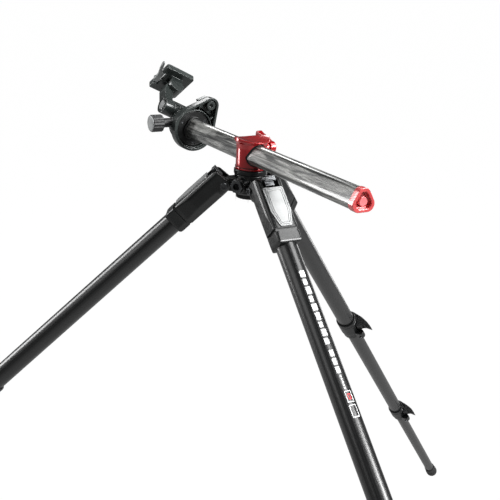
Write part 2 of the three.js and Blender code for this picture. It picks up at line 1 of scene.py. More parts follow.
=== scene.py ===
# Tripod with its column clamped level: spider, three splayed legs, column and tilting head.
# Shapes are drawn in mm in these frames and scaled to metres when placed:
#   CROWN  where spider and column axes cross: column along x, head at its -x end, z up
#   HEAD   CROWN turned about the column;  TILT  on the tilt axis, which runs along y
#   LEGS   x runs down the leg to its sole, y across it, z out of its upper face
import math
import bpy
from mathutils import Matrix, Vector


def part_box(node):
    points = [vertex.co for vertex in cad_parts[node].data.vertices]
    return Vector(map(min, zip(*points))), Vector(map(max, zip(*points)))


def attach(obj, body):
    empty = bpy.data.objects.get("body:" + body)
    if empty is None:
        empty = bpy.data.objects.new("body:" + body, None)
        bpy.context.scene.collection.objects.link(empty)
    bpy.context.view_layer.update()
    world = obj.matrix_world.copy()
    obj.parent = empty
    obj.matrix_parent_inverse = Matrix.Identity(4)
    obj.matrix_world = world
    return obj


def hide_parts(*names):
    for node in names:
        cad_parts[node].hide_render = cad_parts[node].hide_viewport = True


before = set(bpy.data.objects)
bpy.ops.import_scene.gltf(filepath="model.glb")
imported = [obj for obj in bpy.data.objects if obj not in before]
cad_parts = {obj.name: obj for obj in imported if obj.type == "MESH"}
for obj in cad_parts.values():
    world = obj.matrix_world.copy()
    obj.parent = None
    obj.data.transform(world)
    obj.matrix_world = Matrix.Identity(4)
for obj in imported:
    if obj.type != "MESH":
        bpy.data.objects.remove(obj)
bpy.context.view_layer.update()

from types import SimpleNamespace
import bpy
import bmesh
from mathutils import Matrix, Vector

scene = bpy.context.scene

# ------------------------------------------------------------------ driving sizes and frames
NUT_BOTTOM = -60.5  # below the column axis
LEG_TURNS = (0, 120, -120)  # degrees round the spider
LEG_TOP = (37.3, 0, -35.4)  # origin of a leg frame before its turn
LEG_SPLAY = 45
LEG_END = 1350  # sole of the foot
HINGE = (3.75, -7)  # hinge pin, x and z in the leg frame
HINGE_BORE = 3.35
HEAD_TURN, TILT_TURN = -25, -45
TILT_AXIS = (-233, 14)  # x and z in HEAD
# leg tubes: outer and inner diameter, start and end along the leg
TUBES = {
    "upper": (29.2, 26.2, 20.4, 478),
    "middle": (24.8, 22, 444, 901),
    "lower": (20.4, 17.4, 877, 1331),
}
shift = Matrix.Translation


def turn(degrees, axis):
    return Matrix.Rotation(math.radians(degrees), 4, axis)


nut_low, nut_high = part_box("retaining_nut")
SPIDER_X = (nut_low[0] + nut_high[0]) / 2  # metres
COLUMN_Z = round(nut_low[2] * 1000 - NUT_BOTTOM, 1)
CROWN = shift((SPIDER_X * 1000, 0, COLUMN_Z))
HEAD = CROWN @ turn(HEAD_TURN, "X")
TILT = HEAD @ shift((TILT_AXIS[0], 0, TILT_AXIS[1])) @ turn(TILT_TURN, "Y")
LEGS = [CROWN @ turn(a, "Z") @ shift(LEG_TOP) @ turn(LEG_SPLAY, "Y") for a in LEG_TURNS]


def basis(x, y, z, at=(0, 0, 0)):
    """Matrix with the given columns and origin."""
    m = Matrix.Identity(4)
    for i in range(3):
        m[i][0], m[i][1], m[i][2], m[i][3] = x[i], y[i], z[i], at[i]
    return m


def along_x(x=0, y=0, z=0):
    """Outline in y-z, depth or lathe axis towards +x."""
    return basis((0, 1, 0), (0, 0, 1), (1, 0, 0), (x, y, z))


def along_y(x=0, z=0):
    """Lathe axis towards +y."""
    return basis((0, 0, 1), (1, 0, 0), (0, 1, 0), (x, 0, z))


def side_on(y, x=0, z=0):
    """Outline in x-z, depth towards -y."""
    return basis((1, 0, 0), (0, 0, 1), (0, -1, 0), (x, y, z))


def lift(z):
    """Outline in x-y, depth upwards."""
    return shift((0, 0, z))


# ------------------------------------------------------------------ outlines
def polar(radius, degrees):
    a = math.radians(degrees)
    return radius * math.cos(a), radius * math.sin(a)


def arc(cx, cy, radius, start, end, steps):
    points = [polar(radius, start + (end - start) * i / steps) for i in range(steps + 1)]
    return [(cx + x, cy + y) for x, y in points]


def triangle(corner, radius):
    """Rounded triangle: corner centres lie at distance corner, the first at 90 degrees."""
    out = []
    for a in (90, 210, 330):
        out += arc(*polar(corner, a), radius, a - 60, a + 60, 14)
    return out


def teardrop(big, small, distance, angle):
    """Two circles joined by tangents, the small one at the given distance and angle."""
    beta = math.degrees(math.acos((big - small) / distance))
    return (arc(0, 0, big, angle + beta, angle + 360 - beta, 60)
            + arc(*polar(distance, angle), small, angle - beta, angle + beta, 24))


def round_rect(w, d, r, steps, cy):
    return (arc(w / 2 - r, cy + d / 2 - r, r, 0, 90, steps)
            + arc(-w / 2 + r, cy + d / 2 - r, r, 90, 180, steps)
            + arc(-w / 2 + r, cy - d / 2 + r, r, 180, 270, steps)
            + arc(w / 2 - r, cy - d / 2 + r, r, 270, 360, steps))


def fluted(crest, valley, lobes):
    """Knob outline, 12 points to a flute."""
    out = []
    count = 12 * lobes
    for i in range(count):
        a = 2 * math.pi * i / count
        wave = 0.5 + 0.5 * math.cos(lobes * a)
        r = valley + (crest - valley) * wave ** 0.55
        out.append((r * math.cos(a), r * math.sin(a)))
    return out


def fillet(profile, radius, steps=3, closed=False):
    """Rounds the corners of an outline; a third number on a corner is its own radius."""
    out = []
    count = len(profile)
    for i, corner in enumerate(profile):
        p = Vector(corner[:2])
        r = corner[2] if len(corner) > 2 else radius
        if (not closed and i in (0, count - 1)) or r <= 0:
            out.append(tuple(p))
            continue
        back = Vector(profile[i - 1][:2]) - p
        ahead = Vector(profile[(i + 1) % count][:2]) - p
        len_back, len_ahead = back.length, ahead.length
        back /= len_back
        ahead /= len_ahead
        angle = math.acos(max(-1, min(1, back.dot(ahead))))
        if angle > math.pi - 0.05:  # nearly straight
            out.append(tuple(p))
            continue
        d = min(r / math.tan(angle / 2), 0.49 * len_back, 0.49 * len_ahead)
        start, end = p + back * d, p + ahead * d
        for j in range(steps + 1):
            t = j / steps
            out.append(tuple(start * (1 - t) ** 2 + p * 2 * t * (1 - t) + end * t * t))
    return out


def tidy(points):
    """Drops repeated neighbours, also across the closing edge."""
    out = []
    for p in points:
        if not out or math.hypot(p[0] - out[-1][0], p[1] - out[-1][1]) > 1e-4:
            out.append((p[0], p[1]))
    if math.hypot(out[0][0] - out[-1][0], out[0][1] - out[-1][1]) < 1e-4:
        out.pop()
    return out


# ------------------------------------------------------------------ solids
def solid_mesh(verts, faces, m=None):
    bm = bmesh.new()
    vs = [bm.verts.new(v) for v in verts]
    for f in faces:
        bm.faces.new([vs[i] for i in f])
    if m is not None:
        bm.transform(m)
    bmesh.ops.remove_doubles(bm, verts=bm.verts, dist=1e-4)
    bmesh.ops.recalc_face_normals(bm, faces=bm.faces)
    me = bpy.data.meshes.new("solid")
    bm.to_mesh(me)
    bm.free()
    return me


def prism(points, depth, m=None):
    p = tidy(points)
    n = len(p)
    verts = [(x, y, 0) for x, y in p] + [(x, y, depth) for x, y in p]
    sides = [[i, (i + 1) % n, n + (i + 1) % n, n + i] for i in range(n)]
    return solid_mesh(verts, [list(range(n)), list(range(n, 2 * n))] + sides, m)


def turned(profile, seg=64, m=None, radius=0, steps=3):
    """Lathe of (radius, height) points; one that starts off the axis is a closed ring."""
    ring_shaped = profile[0][0] > 0
    if radius:
        profile = fillet(profile, radius, steps, ring_shaped)
    verts, rings = [], []
    for r, z in profile:
        first = len(verts)
        if r < 1e-6:
            verts.append((0, 0, z))
        else:
            for i in range(seg):
                a = 2 * math.pi * i / seg
                verts.append((r * math.cos(a), r * math.sin(a), z))
        rings.append(list(range(first, len(verts))))
    pairs = list(zip(rings, rings[1:]))
    if ring_shaped:
        pairs.append((rings[-1], rings[0]))
    faces = []
    for a, b in pairs:
        for i in range(seg):
            j = (i + 1) % seg
            if len(a) == 1:
                faces.append([a[0], b[i], b[j]])
            elif len(b) == 1:
                faces.append([a[i], a[j], b[0]])
            else:
                faces.append([a[i], a[j], b[j], b[i]])
    return solid_mesh(verts, faces, m)


def rod(axis, radius, start, end, centre=(0, 0), seg=48, chamfer=0, m=None):
    """Cylinder along an axis; centre is its place on the other two, in x, y, z order."""
    p = [(0, start), (radius, start), (radius, end), (0, end)]
    if chamfer:
        p[1:3] = [(radius - chamfer, start), (radius, start + chamfer),
                  (radius, end - chamfer), (radius - chamfer, end)]
    if axis == "x":
        base = along_x(0, *centre)
    elif axis == "y":
        base = along_y(*centre)
    else:
        base = shift((*centre, 0))
    return turned(p, seg, base if m is None else m @ base)


def block(x0, x1, y0, y1, z0, z1, m=None):
    me = prism([(x0, y0), (x1, y0), (x1, y1), (x0, y1)], z1 - z0, lift(z0))
    if m is not None:
        me.transform(m)
    return me


def bar(section, start, depth):
    """Bar along x on a rounded triangle given as (corner, radius)."""
    return prism(triangle(*section), depth, along_x(start))


def plus(*solids):
    return [("UNION", s) for s in solids]


def minus(*solids):
    return [("DIFFERENCE", s) for s in solids]


def combine(solid, steps):
    """Runs (operation, solid) booleans in order and frees the meshes used up."""
    meshes = [solid] + [other for _, other in steps]
    objects = [bpy.data.objects.new("work", me) for me in meshes]
    for ob in objects:
        scene.collection.objects.link(ob)
    for (operation, _), tool in zip(steps, objects[1:]):
        md = objects[0].modifiers.new("b", "BOOLEAN")
        md.operation = operation
        md.solver = "MANIFOLD"
        md.object = tool
    graph = bpy.context.evaluated_depsgraph_get()
    result = bpy.data.meshes.new_from_object(objects[0].evaluated_get(graph))
    for ob in objects:
        bpy.data.objects.remove(ob)
    for me in meshes:
        if me.users == 0:
            bpy.data.meshes.remove(me)
    return result


def join(solid, *others):
    return combine(solid, plus(*others))


def cut(solid, *others):
    return combine(solid, minus(*others))


def common(solid, *others):
    return combine(solid, [("INTERSECT", s) for s in others])


def merge(meshes):
    """Gathers separate meshes into one without a boolean."""
    bm = bmesh.new()
    for me in meshes:
        bm.from_mesh(me)
    out = bpy.data.meshes.new("merged")
    bm.to_mesh(out)
    bm.free()
    return out


def soften(me, voxel, passes):
    """Moulded shape: rebuilt on a fine grid and relaxed, so every edge is round."""
    ob = bpy.data.objects.new("soft", me)
    scene.collection.objects.link(ob)
    remesh = ob.modifiers.new("r", "REMESH")
    remesh.mode = "VOXEL"
    remesh.voxel_size = voxel
    relax = ob.modifiers.new("k", "SMOOTH")
    relax.factor = 0.5
    relax.iterations = passes
    graph = bpy.context.evaluated_depsgraph_get()
    out = bpy.data.meshes.new_from_object(ob.evaluated_get(graph))
    bpy.data.objects.remove(ob)
    return out


class Finish:
    """A node material being built; its methods add nodes and return output sockets."""

    def __init__(self, name, slot=None):
        self.material = bpy.data.materials.new(name)
        self.material.use_nodes = True
        self.tree = self.material.node_tree
        self.tree.nodes.clear()
        self.output = self.add("OutputMaterial")
        self.bsdf = self.add("BsdfPrincipled")
        self.put(self.output.inputs[0], self.bsdf.outputs[0])

    def put(self, socket, value):
        if isinstance(value, bpy.types.NodeSocket):
            self.tree.links.new(value, socket)
        else:
            socket.default_value = value

    def fill(self, node, **inputs):
        """Sets inputs by name, with _ for a space."""
        for name, value in inputs.items():
            self.put(node.inputs[name.replace("_", " ")], value)

    def look(self, **inputs):
        self.fill(self.bsdf, **inputs)

    def add(self, kind, **inputs):
        node = self.tree.nodes.new("ShaderNode" + kind)
        self.fill(node, **inputs)
        return node

    def coords(self, scale=(1, 1, 1)):
        place = self.add("TexCoord").outputs["Object"]
        return self.add("Mapping", Scale=scale, Vector=place).outputs[0]

    def noise(self, vector, scale, detail, rough, distortion=0):
        return self.add("TexNoise", Scale=scale, Detail=detail, Roughness=rough,
                        Distortion=distortion, Vector=vector).outputs[0]

    def math(self, operation, *values):
        node = self.add("Math")
        node.operation = operation
        for socket, value in zip(node.inputs, values):
            self.put(socket, value)
        return node.outputs[0]

    def weighted(self, *terms):
        """Sum of (value, weight) terms."""
        total = None
        for value, weight in terms:
            part = self.math("MULTIPLY", value, weight)
            total = part if total is None else self.math("ADD", total, part)
        return total

    def remap(self, value, low, high, to_low=0, to_high=1):
        node = self.add("MapRange", Value=value, From_Min=low, From_Max=high,
                        To_Min=to_low, To_Max=to_high)
        return node.outputs[0]

    def ramp(self, value, stops):
        node = self.add("ValToRGB", Fac=value)
        elements = node.color_ramp.elements
        while len(elements) > 1:
            elements.remove(elements[-1])
        for i, (position, colour) in enumerate(stops):
            e = elements.new(position) if i else elements[0]
            e.position = position
            e.color = (*colour, 1)
        return node.outputs[0]

    def bump(self, height, strength, distance):
        return self.add("Bump", Strength=strength, Distance=distance, Height=height).outputs[0]

    def mix(self, factor, a, b):
        """Colour mix; a and b are sockets or RGB."""
        node = self.add("Mix")
        node.data_type = "RGBA"
        self.put(node.inputs[0], factor)
        for i, colour in ((6, a), (7, b)):
            self.put(node.inputs[i], (*colour, 1) if isinstance(colour, tuple) else colour)
        return node.outputs[2]


def painted(name, slot, dark, light, rough, grain, grain_height=0.00006, metallic=0,
            specular=0.5, coat=0, edge_wear_and_highlight=0.35):
    """Paint or plastic: cloudy colour, fine grain in the normal, convex edges lightened as
    rubbed wear and as a painted highlight.
    """
    f = Finish(name, slot)
    place = f.coords()
    cloud = f.noise(place, scale=38, detail=5, rough=0.6)
    fine = f.noise(place, scale=grain, detail=3, rough=0.6)
    smear = f.noise(f.coords((1, 0.35, 1)), scale=120, detail=6, rough=0.7)
    colour = f.mix(f.remap(cloud, 0.3, 0.72), dark, light)
    # convex edges are mixed towards a pale colour: partly rubbed wear, partly a painted
    # highlight
    edge = f.remap(f.add("NewGeometry").outputs["Pointiness"], 0.52, 0.60, 0, edge_wear_and_highlight)
    colour = f.mix(edge, colour, tuple(min(1, c * 2.2 + 0.05) for c in light))
    f.look(Base_Color=colour, Roughness=f.remap(smear, 0.3, 0.75, *rough), Metallic=metallic,
           Specular_IOR_Level=specular, Coat_Weight=coat, Coat_Roughness=0.12,
           Normal=f.bump(fine, strength=0.55, distance=grain_height))
    return f.material


def metal(name, dark, light, rough):
    """Turned steel: streaks, clouded colour."""
    f = Finish(name, "steel")
    streak = f.noise(f.coords((1, 40, 1)), scale=60, detail=6, rough=0.7)
    cloud = f.noise(f.coords(), scale=55, detail=4, rough=0.6)
    tone = f.remap(f.weighted((streak, 0.6), (cloud, 0.4)), 0.35, 0.65)
    f.look(Base_Color=f.mix(tone, dark, light), Metallic=1, Coat_Roughness=0.06,
           Roughness=f.remap(streak, 0.3, 0.7, *rough),
           Normal=f.bump(streak, strength=0.25, distance=0.00004))
    return f.material


def weave(f, tow, radius):
    """Twill round a tube along x, in metres: returns height and which tow is on top."""
    axes = f.add("SeparateXYZ", Vector=f.add("TexCoord").outputs["Object"]).outputs
    angle = f.math("ARCTAN2", axes["Y"], axes["Z"])
    around = 4 * round(2 * math.pi * radius / tow / 4)
    u = f.math("MULTIPLY", angle, around / (2 * math.pi))
    w = f.math("DIVIDE", axes["X"], tow)
    # tows lie at 45 degrees to the axis
    a = f.math("ADD", u, w)
    b = f.math("SUBTRACT", u, w)
    cell = f.math("ADD", f.math("FLOOR", a), f.math("FLOOR", b))
    top = f.math("LESS_THAN", f.math("FLOORED_MODULO", cell, 4.0), 2.0)
    height_a, height_b = [
        f.math("SINE", f.math("MULTIPLY", f.math("FRACT", t), math.pi)) for t in (a, b)]
    under = f.math("SUBTRACT", 1.0, top)
    return f.weighted((height_a, top), (height_b, under)), top


def carbon(tube, dark, light, fleck=0.5):
    """Woven laminate of a leg tube; fleck is the strength of the fine light specks."""
    f = Finish(f"carbon_{tube}", "leg_carbon")
    height, top = weave(f, tow=0.0016, radius=TUBES[tube][0] / 2000)
    fibre = f.noise(f.coords(), scale=900, detail=3, rough=0.7)
    cloud = f.noise(f.coords((0.25, 1, 1)), scale=60, detail=4, rough=0.6)
    tone = f.weighted((top, 0.45), (height, 0.35), (f.math("SUBTRACT", fibre, 0.5), fleck),
                      (f.math("SUBTRACT", cloud, 0.5), 0.5))
    shine = f.math("ADD", f.math("MULTIPLY", top, 0.4), cloud)
    f.look(Base_Color=f.mix(f.remap(tone, 0, 1), dark, light),
           Roughness=f.remap(shine, 0.2, 1.1, 0.3, 0.4),
           Specular_IOR_Level=0.6, Coat_Weight=0.45, Coat_Roughness=0.2,
           Normal=f.bump(height, strength=0.1, distance=0.00005))
    return f.material


def forged(name):
    """Column laminate: long light and dark streaks with fine dark checks, clear-coated."""
    f = Finish(name, "column_carbon")
    streak = f.noise(f.coords((0.07, 1, 1)), 190, detail=6, rough=0.62, distortion=0.9)
    thread = f.noise(f.coords((0.02, 1, 1)), 800, detail=4, rough=0.65, distortion=0.3)
    cloud = f.noise(f.coords((0.25, 1, 1)), 60, detail=3, rough=0.6, distortion=0.5)
    blend = f.weighted((streak, 0.58), (thread, 0.27), (cloud, 0.15))
    tone = f.ramp(blend, [
        (0.38, (0.004, 0.0045, 0.0045)),
        (0.46, (0.035, 0.037, 0.036)),
        (0.505, (0.12, 0.122, 0.116)),
        (0.56, (0.25, 0.252, 0.24)),
        (0.64, (0.46, 0.46, 0.44)),
    ])
    veins = f.noise(f.coords((0.14, 1, 1)), 150, detail=5, rough=0.66, distortion=1.6)
    line = f.math("ABSOLUTE", f.math("SUBTRACT", veins, 0.5))
    check = f.remap(line, 0, 0.022, 0.75, 0)
    height = f.math("SUBTRACT", blend, f.math("MULTIPLY", check, 0.1))
    f.look(Base_Color=f.mix(check, tone, (0.008, 0.0085, 0.0085)), Metallic=0.1,
           Roughness=f.remap(blend, 0.35, 0.65, 0.26, 0.4),
           Coat_Weight=0.75, Coat_Roughness=0.06,
           Normal=f.bump(height, strength=0.2, distance=0.0001))
    return f.material


def rubber(name):
    f = Finish(name, "foot_rubber")
    fine = f.noise(f.coords(), scale=1500, detail=4, rough=0.7)
    cloud = f.noise(f.coords(), scale=90, detail=4, rough=0.6)
    tone = f.remap(cloud, 0.3, 0.7)
    f.look(Base_Color=f.mix(tone, (0.012, 0.012, 0.013), (0.03, 0.03, 0.031)),
           Roughness=f.remap(fine, 0.3, 0.7, 0.42, 0.62),
           Normal=f.bump(fine, strength=0.5, distance=0.0001))
    return f.material


def vial_glass(name):
    """Yellow-green fluid, faintly glowing."""
    f = Finish(name, "vial")
    swirl = f.noise(f.coords(), scale=260, detail=3, rough=0.5)
    f.look(Base_Color=f.mix(swirl, (0.55, 0.72, 0.06), (0.80, 0.92, 0.22)),
           Roughness=0.04, Coat_Weight=1, Subsurface_Weight=0.3, Subsurface_Scale=0.002,
           Emission_Color=f.mix(swirl, (0.5, 0.68, 0.05), (0.75, 0.9, 0.2)),
           Emission_Strength=0.12)
    return f.material


def ink(name, dark, light):
    f = Finish(name, "silver_plate")
    speck = f.noise(f.coords(), scale=1800, detail=3, rough=0.6)
    f.look(Base_Color=f.mix(f.remap(speck, 0.3, 0.7), dark, light),
           Roughness=f.remap(speck, 0.3, 0.7, 0.5, 0.65),
           Normal=f.bump(speck, strength=0.3, distance=0.00003))
    return f.material


BLACK = painted("black_casting_paint", "black_casting", (0.0025, 0.003, 0.003),
                (0.0085, 0.0095, 0.0095), rough=(0.24, 0.36), grain=2400, specular=0.6)
# edges lightened in full here: painted highlight lines along the head's rims
HEAD_BLACK = painted("head_casting_paint", "black_casting", (0.010, 0.013, 0.0125),
                     (0.034, 0.041, 0.039), rough=(0.2, 0.32), grain=2200, metallic=0.15,
                     specular=0.7, edge_wear_and_highlight=1)
GREY_CAST = painted("grey_casting_metal", "grey_casting", (0.006, 0.0065, 0.0065),
                    (0.020, 0.021, 0.021), rough=(0.28, 0.4), grain=1500, metallic=0.5,
                    specular=0.6)
PLASTIC = painted("black_moulded_plastic", "black_plastic", (0.0025, 0.003, 0.003),
                  (0.0075, 0.008, 0.0085), rough=(0.26, 0.38), grain=3200,
                  grain_height=0.00007)
KNOB = painted("knob_soft_plastic", "black_plastic", (0.004, 0.0045, 0.0045),
               (0.011, 0.012, 0.0125), rough=(0.4, 0.52), grain=3600, grain_height=0.0001)
SILVER = painted("silver_satin", "silver_plate", (0.30, 0.31, 0.31), (0.44, 0.45, 0.45),
                 rough=(0.26, 0.34), grain=1800, grain_height=0.00002, metallic=0.75,
                 coat=0.2, edge_wear_and_highlight=0.5)
STEEL = metal("steel_turned", (0.30, 0.31, 0.31), (0.46, 0.47, 0.48), rough=(0.2, 0.32))
TRIM = painted("trim_plate_satin", "silver_plate", (0.19, 0.195, 0.195),
               (0.29, 0.295, 0.295), rough=(0.36, 0.46), grain=1800, grain_height=0.00002,
               metallic=0.25, specular=0.6, coat=0.3, edge_wear_and_highlight=0.5)
DARK_STEEL = metal("steel_dark", (0.07, 0.072, 0.075), (0.15, 0.155, 0.16),
                   rough=(0.24, 0.36))
# a lighter red than the collar, with edges lightened in full: a painted highlight on the end
# cap's rim
CAP_RED_PAINTED_HIGHLIGHT = painted("cap_red_painted_highlight", "red_casting", (0.54, 0.045, 0.05), (0.70, 0.10, 0.10),
                  rough=(0.14, 0.24), grain=1500, grain_height=0.00002, metallic=0.15,
                  specular=0.6, coat=0.8, edge_wear_and_highlight=1)
CAP_GREY = painted("knob_cap_grey", "silver_plate", (0.16, 0.17, 0.17), (0.30, 0.31, 0.31),
                   rough=(0.34, 0.46), grain=1800, grain_height=0.00005, metallic=0.3)
# edges strongly lightened: a painted highlight along its convex edges, the collar's top rim
# most of all
RED = painted("red_anodised", "red_casting", (0.34, 0.004, 0.007), (0.52, 0.010, 0.014),
              rough=(0.12, 0.2), grain=1500, grain_height=0.00002, metallic=0.35,
              specular=0.6, coat=0.9, edge_wear_and_highlight=0.8)
RED_PLASTIC = painted("red_button_plastic", "red_plastic", (0.66, 0.13, 0.14),
                      (0.80, 0.24, 0.25), rough=(0.2, 0.32), grain=2200,
                      grain_height=0.00004, specular=0.6, coat=0.7, edge_wear_and_highlight=0.2)
RUBBER = rubber("foot_rubber_grain")
VIAL = vial_glass("vial_fluid")
CARBON = {
    "upper": carbon("upper", (0.0015, 0.0017, 0.0018), (0.0085, 0.009, 0.0095)),
    "middle": carbon("middle", (0.0015, 0.0017, 0.0018), (0.0095, 0.010, 0.0105)),
    "lower": carbon("lower", (0.0015, 0.0017, 0.0018), (0.012, 0.0125, 0.013), fleck=0.9),
}
COLUMN = forged("column_laminate")
WHITE = ink("white_print", (0.62, 0.63, 0.63), (0.78, 0.79, 0.79))
RED_INK = ink("red_print", (0.5, 0.02, 0.03), (0.62, 0.04, 0.05))


def piece(name, solid, at, body, finish, replaced=None, bevel=0, segs=2, angle=32, smooth=38):
    """Bevels edges sharper than angle, shades and places a solid, hangs it on its body's empty
    and hides the CAD part it replaces.
    """
    bm = bmesh.new()
    bm.from_mesh(solid)
    bmesh.ops.remove_doubles(bm, verts=bm.verts, dist=0.004)
    bmesh.ops.dissolve_limit(bm, angle_limit=math.radians(0.8), verts=bm.verts, edges=bm.edges)
    if bevel > 0:
        edges = [e for e in bm.edges
                 if len(e.link_faces) == 2 and e.calc_face_angle(0) > math.radians(angle)]
        if edges:
            bmesh.ops.bevel(bm, geom=edges, offset=bevel, offset_type="OFFSET", segments=segs,
                            profile=0.5, affect="EDGES", clamp_overlap=False)
            bmesh.ops.remove_doubles(bm, verts=bm.verts, dist=0.004)
    bm.transform(Matrix.Scale(0.001, 4))
    me = bpy.data.meshes.new(name)
    bm.to_mesh(me)
    bm.free()
    me.shade_smooth()
    me.set_sharp_from_angle(angle=math.radians(smooth))
    me.materials.append(finish)
    for p in me.polygons:
        p.material_index = 0
    ob = bpy.data.objects.new(name, me)
    scene.collection.objects.link(ob)
    m = at.copy()
    m.translation = m.translation * 0.001
    ob.matrix_world = m
    normals = ob.modifiers.new("wn", "WEIGHTED_NORMAL")
    normals.keep_sharp = True
    normals.weight = 60
    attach(ob, body)
    if replaced:
        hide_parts(replaced)


# ------------------------------------------------------------------ spider
# the hinge carried from the leg frame, splayed 45 degrees, to radius and height here
hinge_r = LEG_TOP[0] + (HINGE[0] + HINGE[1]) * math.sqrt(0.5)
hinge_z = LEG_TOP[2] + (HINGE[1] - HINGE[0]) * math.sqrt(0.5)
SOCKET = (0, -40)  # accessory socket axis, y and z, halfway between two legs
socket_turn = turn(-60, "Z")
hub_profile = [(0, -55), (19.5, -55), (22, -52, 1), (22, -27.4, 1.2), (16.6, -27.4, 0.8),
               (16.6, -20.4, 0.8), (0, -20.4)]
tongue = [(12, -52)] + arc(hinge_r, hinge_z, 8, -100, 95, 24) + [(12, -32)]
turns = [turn(a, "Z") for a in LEG_TURNS]
spider = combine(
    turned(hub_profile, 96, radius=1, steps=4),
    plus(*[prism(tongue, 23, m @ side_on(11.5)) for m in turns],
         rod("x", 10.5, 12, 33, SOCKET, chamfer=0.8, m=socket_turn))
    + minus(*[rod("y", HINGE_BORE, -14, 14, (hinge_r, hinge_z), seg=32, m=m) for m in turns],
            rod("x", 8.35, 24, 40, SOCKET, m=socket_turn), rod("z", 14.3, -70, 0, seg=64)))
piece("spider", spider, CROWN, "base", BLACK, "spider_casting", bevel=0.9, segs=3)
bush = combine(rod("x", 8, 24.4, 34.5, SOCKET, seg=40, m=socket_turn),
               plus(rod("x", 9.6, 33.3, 36.5, SOCKET, seg=6, m=socket_turn))
               + minus(rod("x", 4.9, 20, 40, SOCKET, seg=32, m=socket_turn)))
piece("accessory_thread_bush", bush, CROWN, "base", DARK_STEEL, "accessory_socket", bevel=0.35)

# ------------------------------------------------------------------ level ring and vial
VIAL_AT = (-26.5, 0)
RING_BOTTOM, RING_TOP = -27, -20.7
ring_profile = [(16.9, RING_BOTTOM), (23, RING_BOTTOM), (23, RING_TOP), (16.9, RING_TOP)]
neck = fillet([(VIAL_AT[0], -5.6), (-18, -7), (-18, 7), (VIAL_AT[0], 5.6)], 0.1, 1, True)
ring = combine(
    turned(ring_profile, 96, radius=0.8),
    plus(prism(neck, 6.3, lift(RING_BOTTOM)), rod("z", 5.6, RING_BOTTOM, RING_TOP, VIAL_AT))
    + minus(rod("z", 17.0, -30, -18, seg=96), rod("z", 4.5, -25.6, -18, VIAL_AT)))
piece("level_ring_body", ring, CROWN, "level", PLASTIC, "level_ring", bevel=0.5)
vial_profile = [(0, -25.2), (4.2, -25.2), (4.2, -21.2), (3.1, -20.3), (0, -19.9)]
vial_shift = shift((*VIAL_AT, 0))
piece("level_vial_fluid", turned(vial_profile, 48, vial_shift, radius=0.5, steps=4),
      CROWN, "level", VIAL, "level_vial")
mark_profile = [(1.8, -20.3), (2.1, -20.35), (2.1, -20.02), (1.8, -19.95)]
piece("level_vial_mark", turned(mark_profile, 40, vial_shift), CROWN, "level", PLASTIC)

# ------------------------------------------------------------------ collar
CLAMP = (0, 7)  # clamp screw axis, x and z
CLAMP_BORE = 3.3
# rounded triangles (corner, radius)
SLEEVE_HOLE = (5, 11.7)
LINER_OUTSIDE, LINER_HOLE = (5, 11.4), (6.4, 9.3)
collar_profile = [
    (0, -58), (13.9, -58), (13.9, -20, 0.3), (21.6, -20, 0.5), (21.6, -17.5, 0.5),
    (21, -16.8, 0.5), (21, 9, 6), (22.1, 15, 4), (24.2, 18.4, 1.5), (24.5, 19.6, 1),
    (24.5, 26), (0, 26)]
boss = cut(rod("y", 7.5, 15, 24, CLAMP, chamfer=0.6), bar(SLEEVE_HOLE, -40, 80))
collar = combine(
    turned(collar_profile, 128, radius=0.4, steps=5),
    # saddle along x in the rim, column passage, hollow stem
    minus(rod("x", 74, -40, 40, (0, 93.2), seg=240), bar(SLEEVE_HOLE, -40, 80),
          rod("z", 10.8, -70, 0, seg=64))
    + plus(boss)
    # screw bore, then the split slot of the clamp
    + minus(rod("y", CLAMP_BORE, 8, 40, CLAMP, seg=32),
            block(-21.8, -19.7, -9.6, -7.9, 1.5, 8.5)))
piece("collar_body", collar, CROWN, "collar", RED, "collar_sleeve", bevel=0.55, segs=3)
seam_profile = [(21.05, -17.2), (21.75, -17.2), (21.75, -16.4), (21.05, -16.4)]
piece("collar_seam_ring", turned(seam_profile, 128, radius=0.2, steps=2),
      CROWN, "collar", PLASTIC)
liner = common(bar(LINER_OUTSIDE, -25, 50), rod("z", 20.8, -30, 30, seg=128))
liner = cut(liner, bar(LINER_HOLE, -30, 60), rod("y", CLAMP_BORE, 5, 40, CLAMP, seg=24))
piece("collar_inner_liner", liner, CROWN, "collar", PLASTIC, "collar_liner")
# 24 teeth of six points, four on the crest and two in the gap
star = [polar(18.5 if i % 6 < 4 else 17.9, i * 2.5) for i in range(144)]
nut = cut(prism(star, 5.1, lift(NUT_BOTTOM)), rod("z", 14.35, -70, -50, seg=64))
piece("retaining_nut_ring", nut, CROWN, "collar", PLASTIC, "retaining_nut",
      bevel=0.3, angle=50)
stud = join(rod("y", 3, 15.2, 29, CLAMP, seg=32, chamfer=0.4),
            rod("y", 5, 24.4, 26, CLAMP, seg=6))
piece("clamp_screw_stud", stud, CROWN, "clamp", STEEL, "clamp_screw", bevel=0.25)
# lever outline in x-z, from the screw out towards -x and back
lever_path = [
    (3, 14.6), (-4, 15.5), (-16, 19.5), (-27, 21.5), (-33, 23.6), (-37, 21.5), (-37.5, 16.5),
    (-33, 13.6), (-25, 12.4), (-14, 8), (-7, 2.5), (-4.5, 0.4)]
clamp_outline = arc(*CLAMP, 8, -100, 60, 20) + fillet(lever_path, 2.5, 4)[1:-1]
clamp_lever = join(prism(clamp_outline, 7, side_on(34)),
                   rod("y", 5, 27, 34, (-33.5, 18.6), seg=40), rod("y", 8, 26.4, 34.5, CLAMP))
clamp_lever = cut(soften(clamp_lever, voxel=0.45, passes=6),
                  rod("y", CLAMP_BORE, 20, 29.6, CLAMP, seg=32))
piece("clamp_lever_arm", clamp_lever, CROWN, "clamp", RED, "clamp_lever", smooth=50)

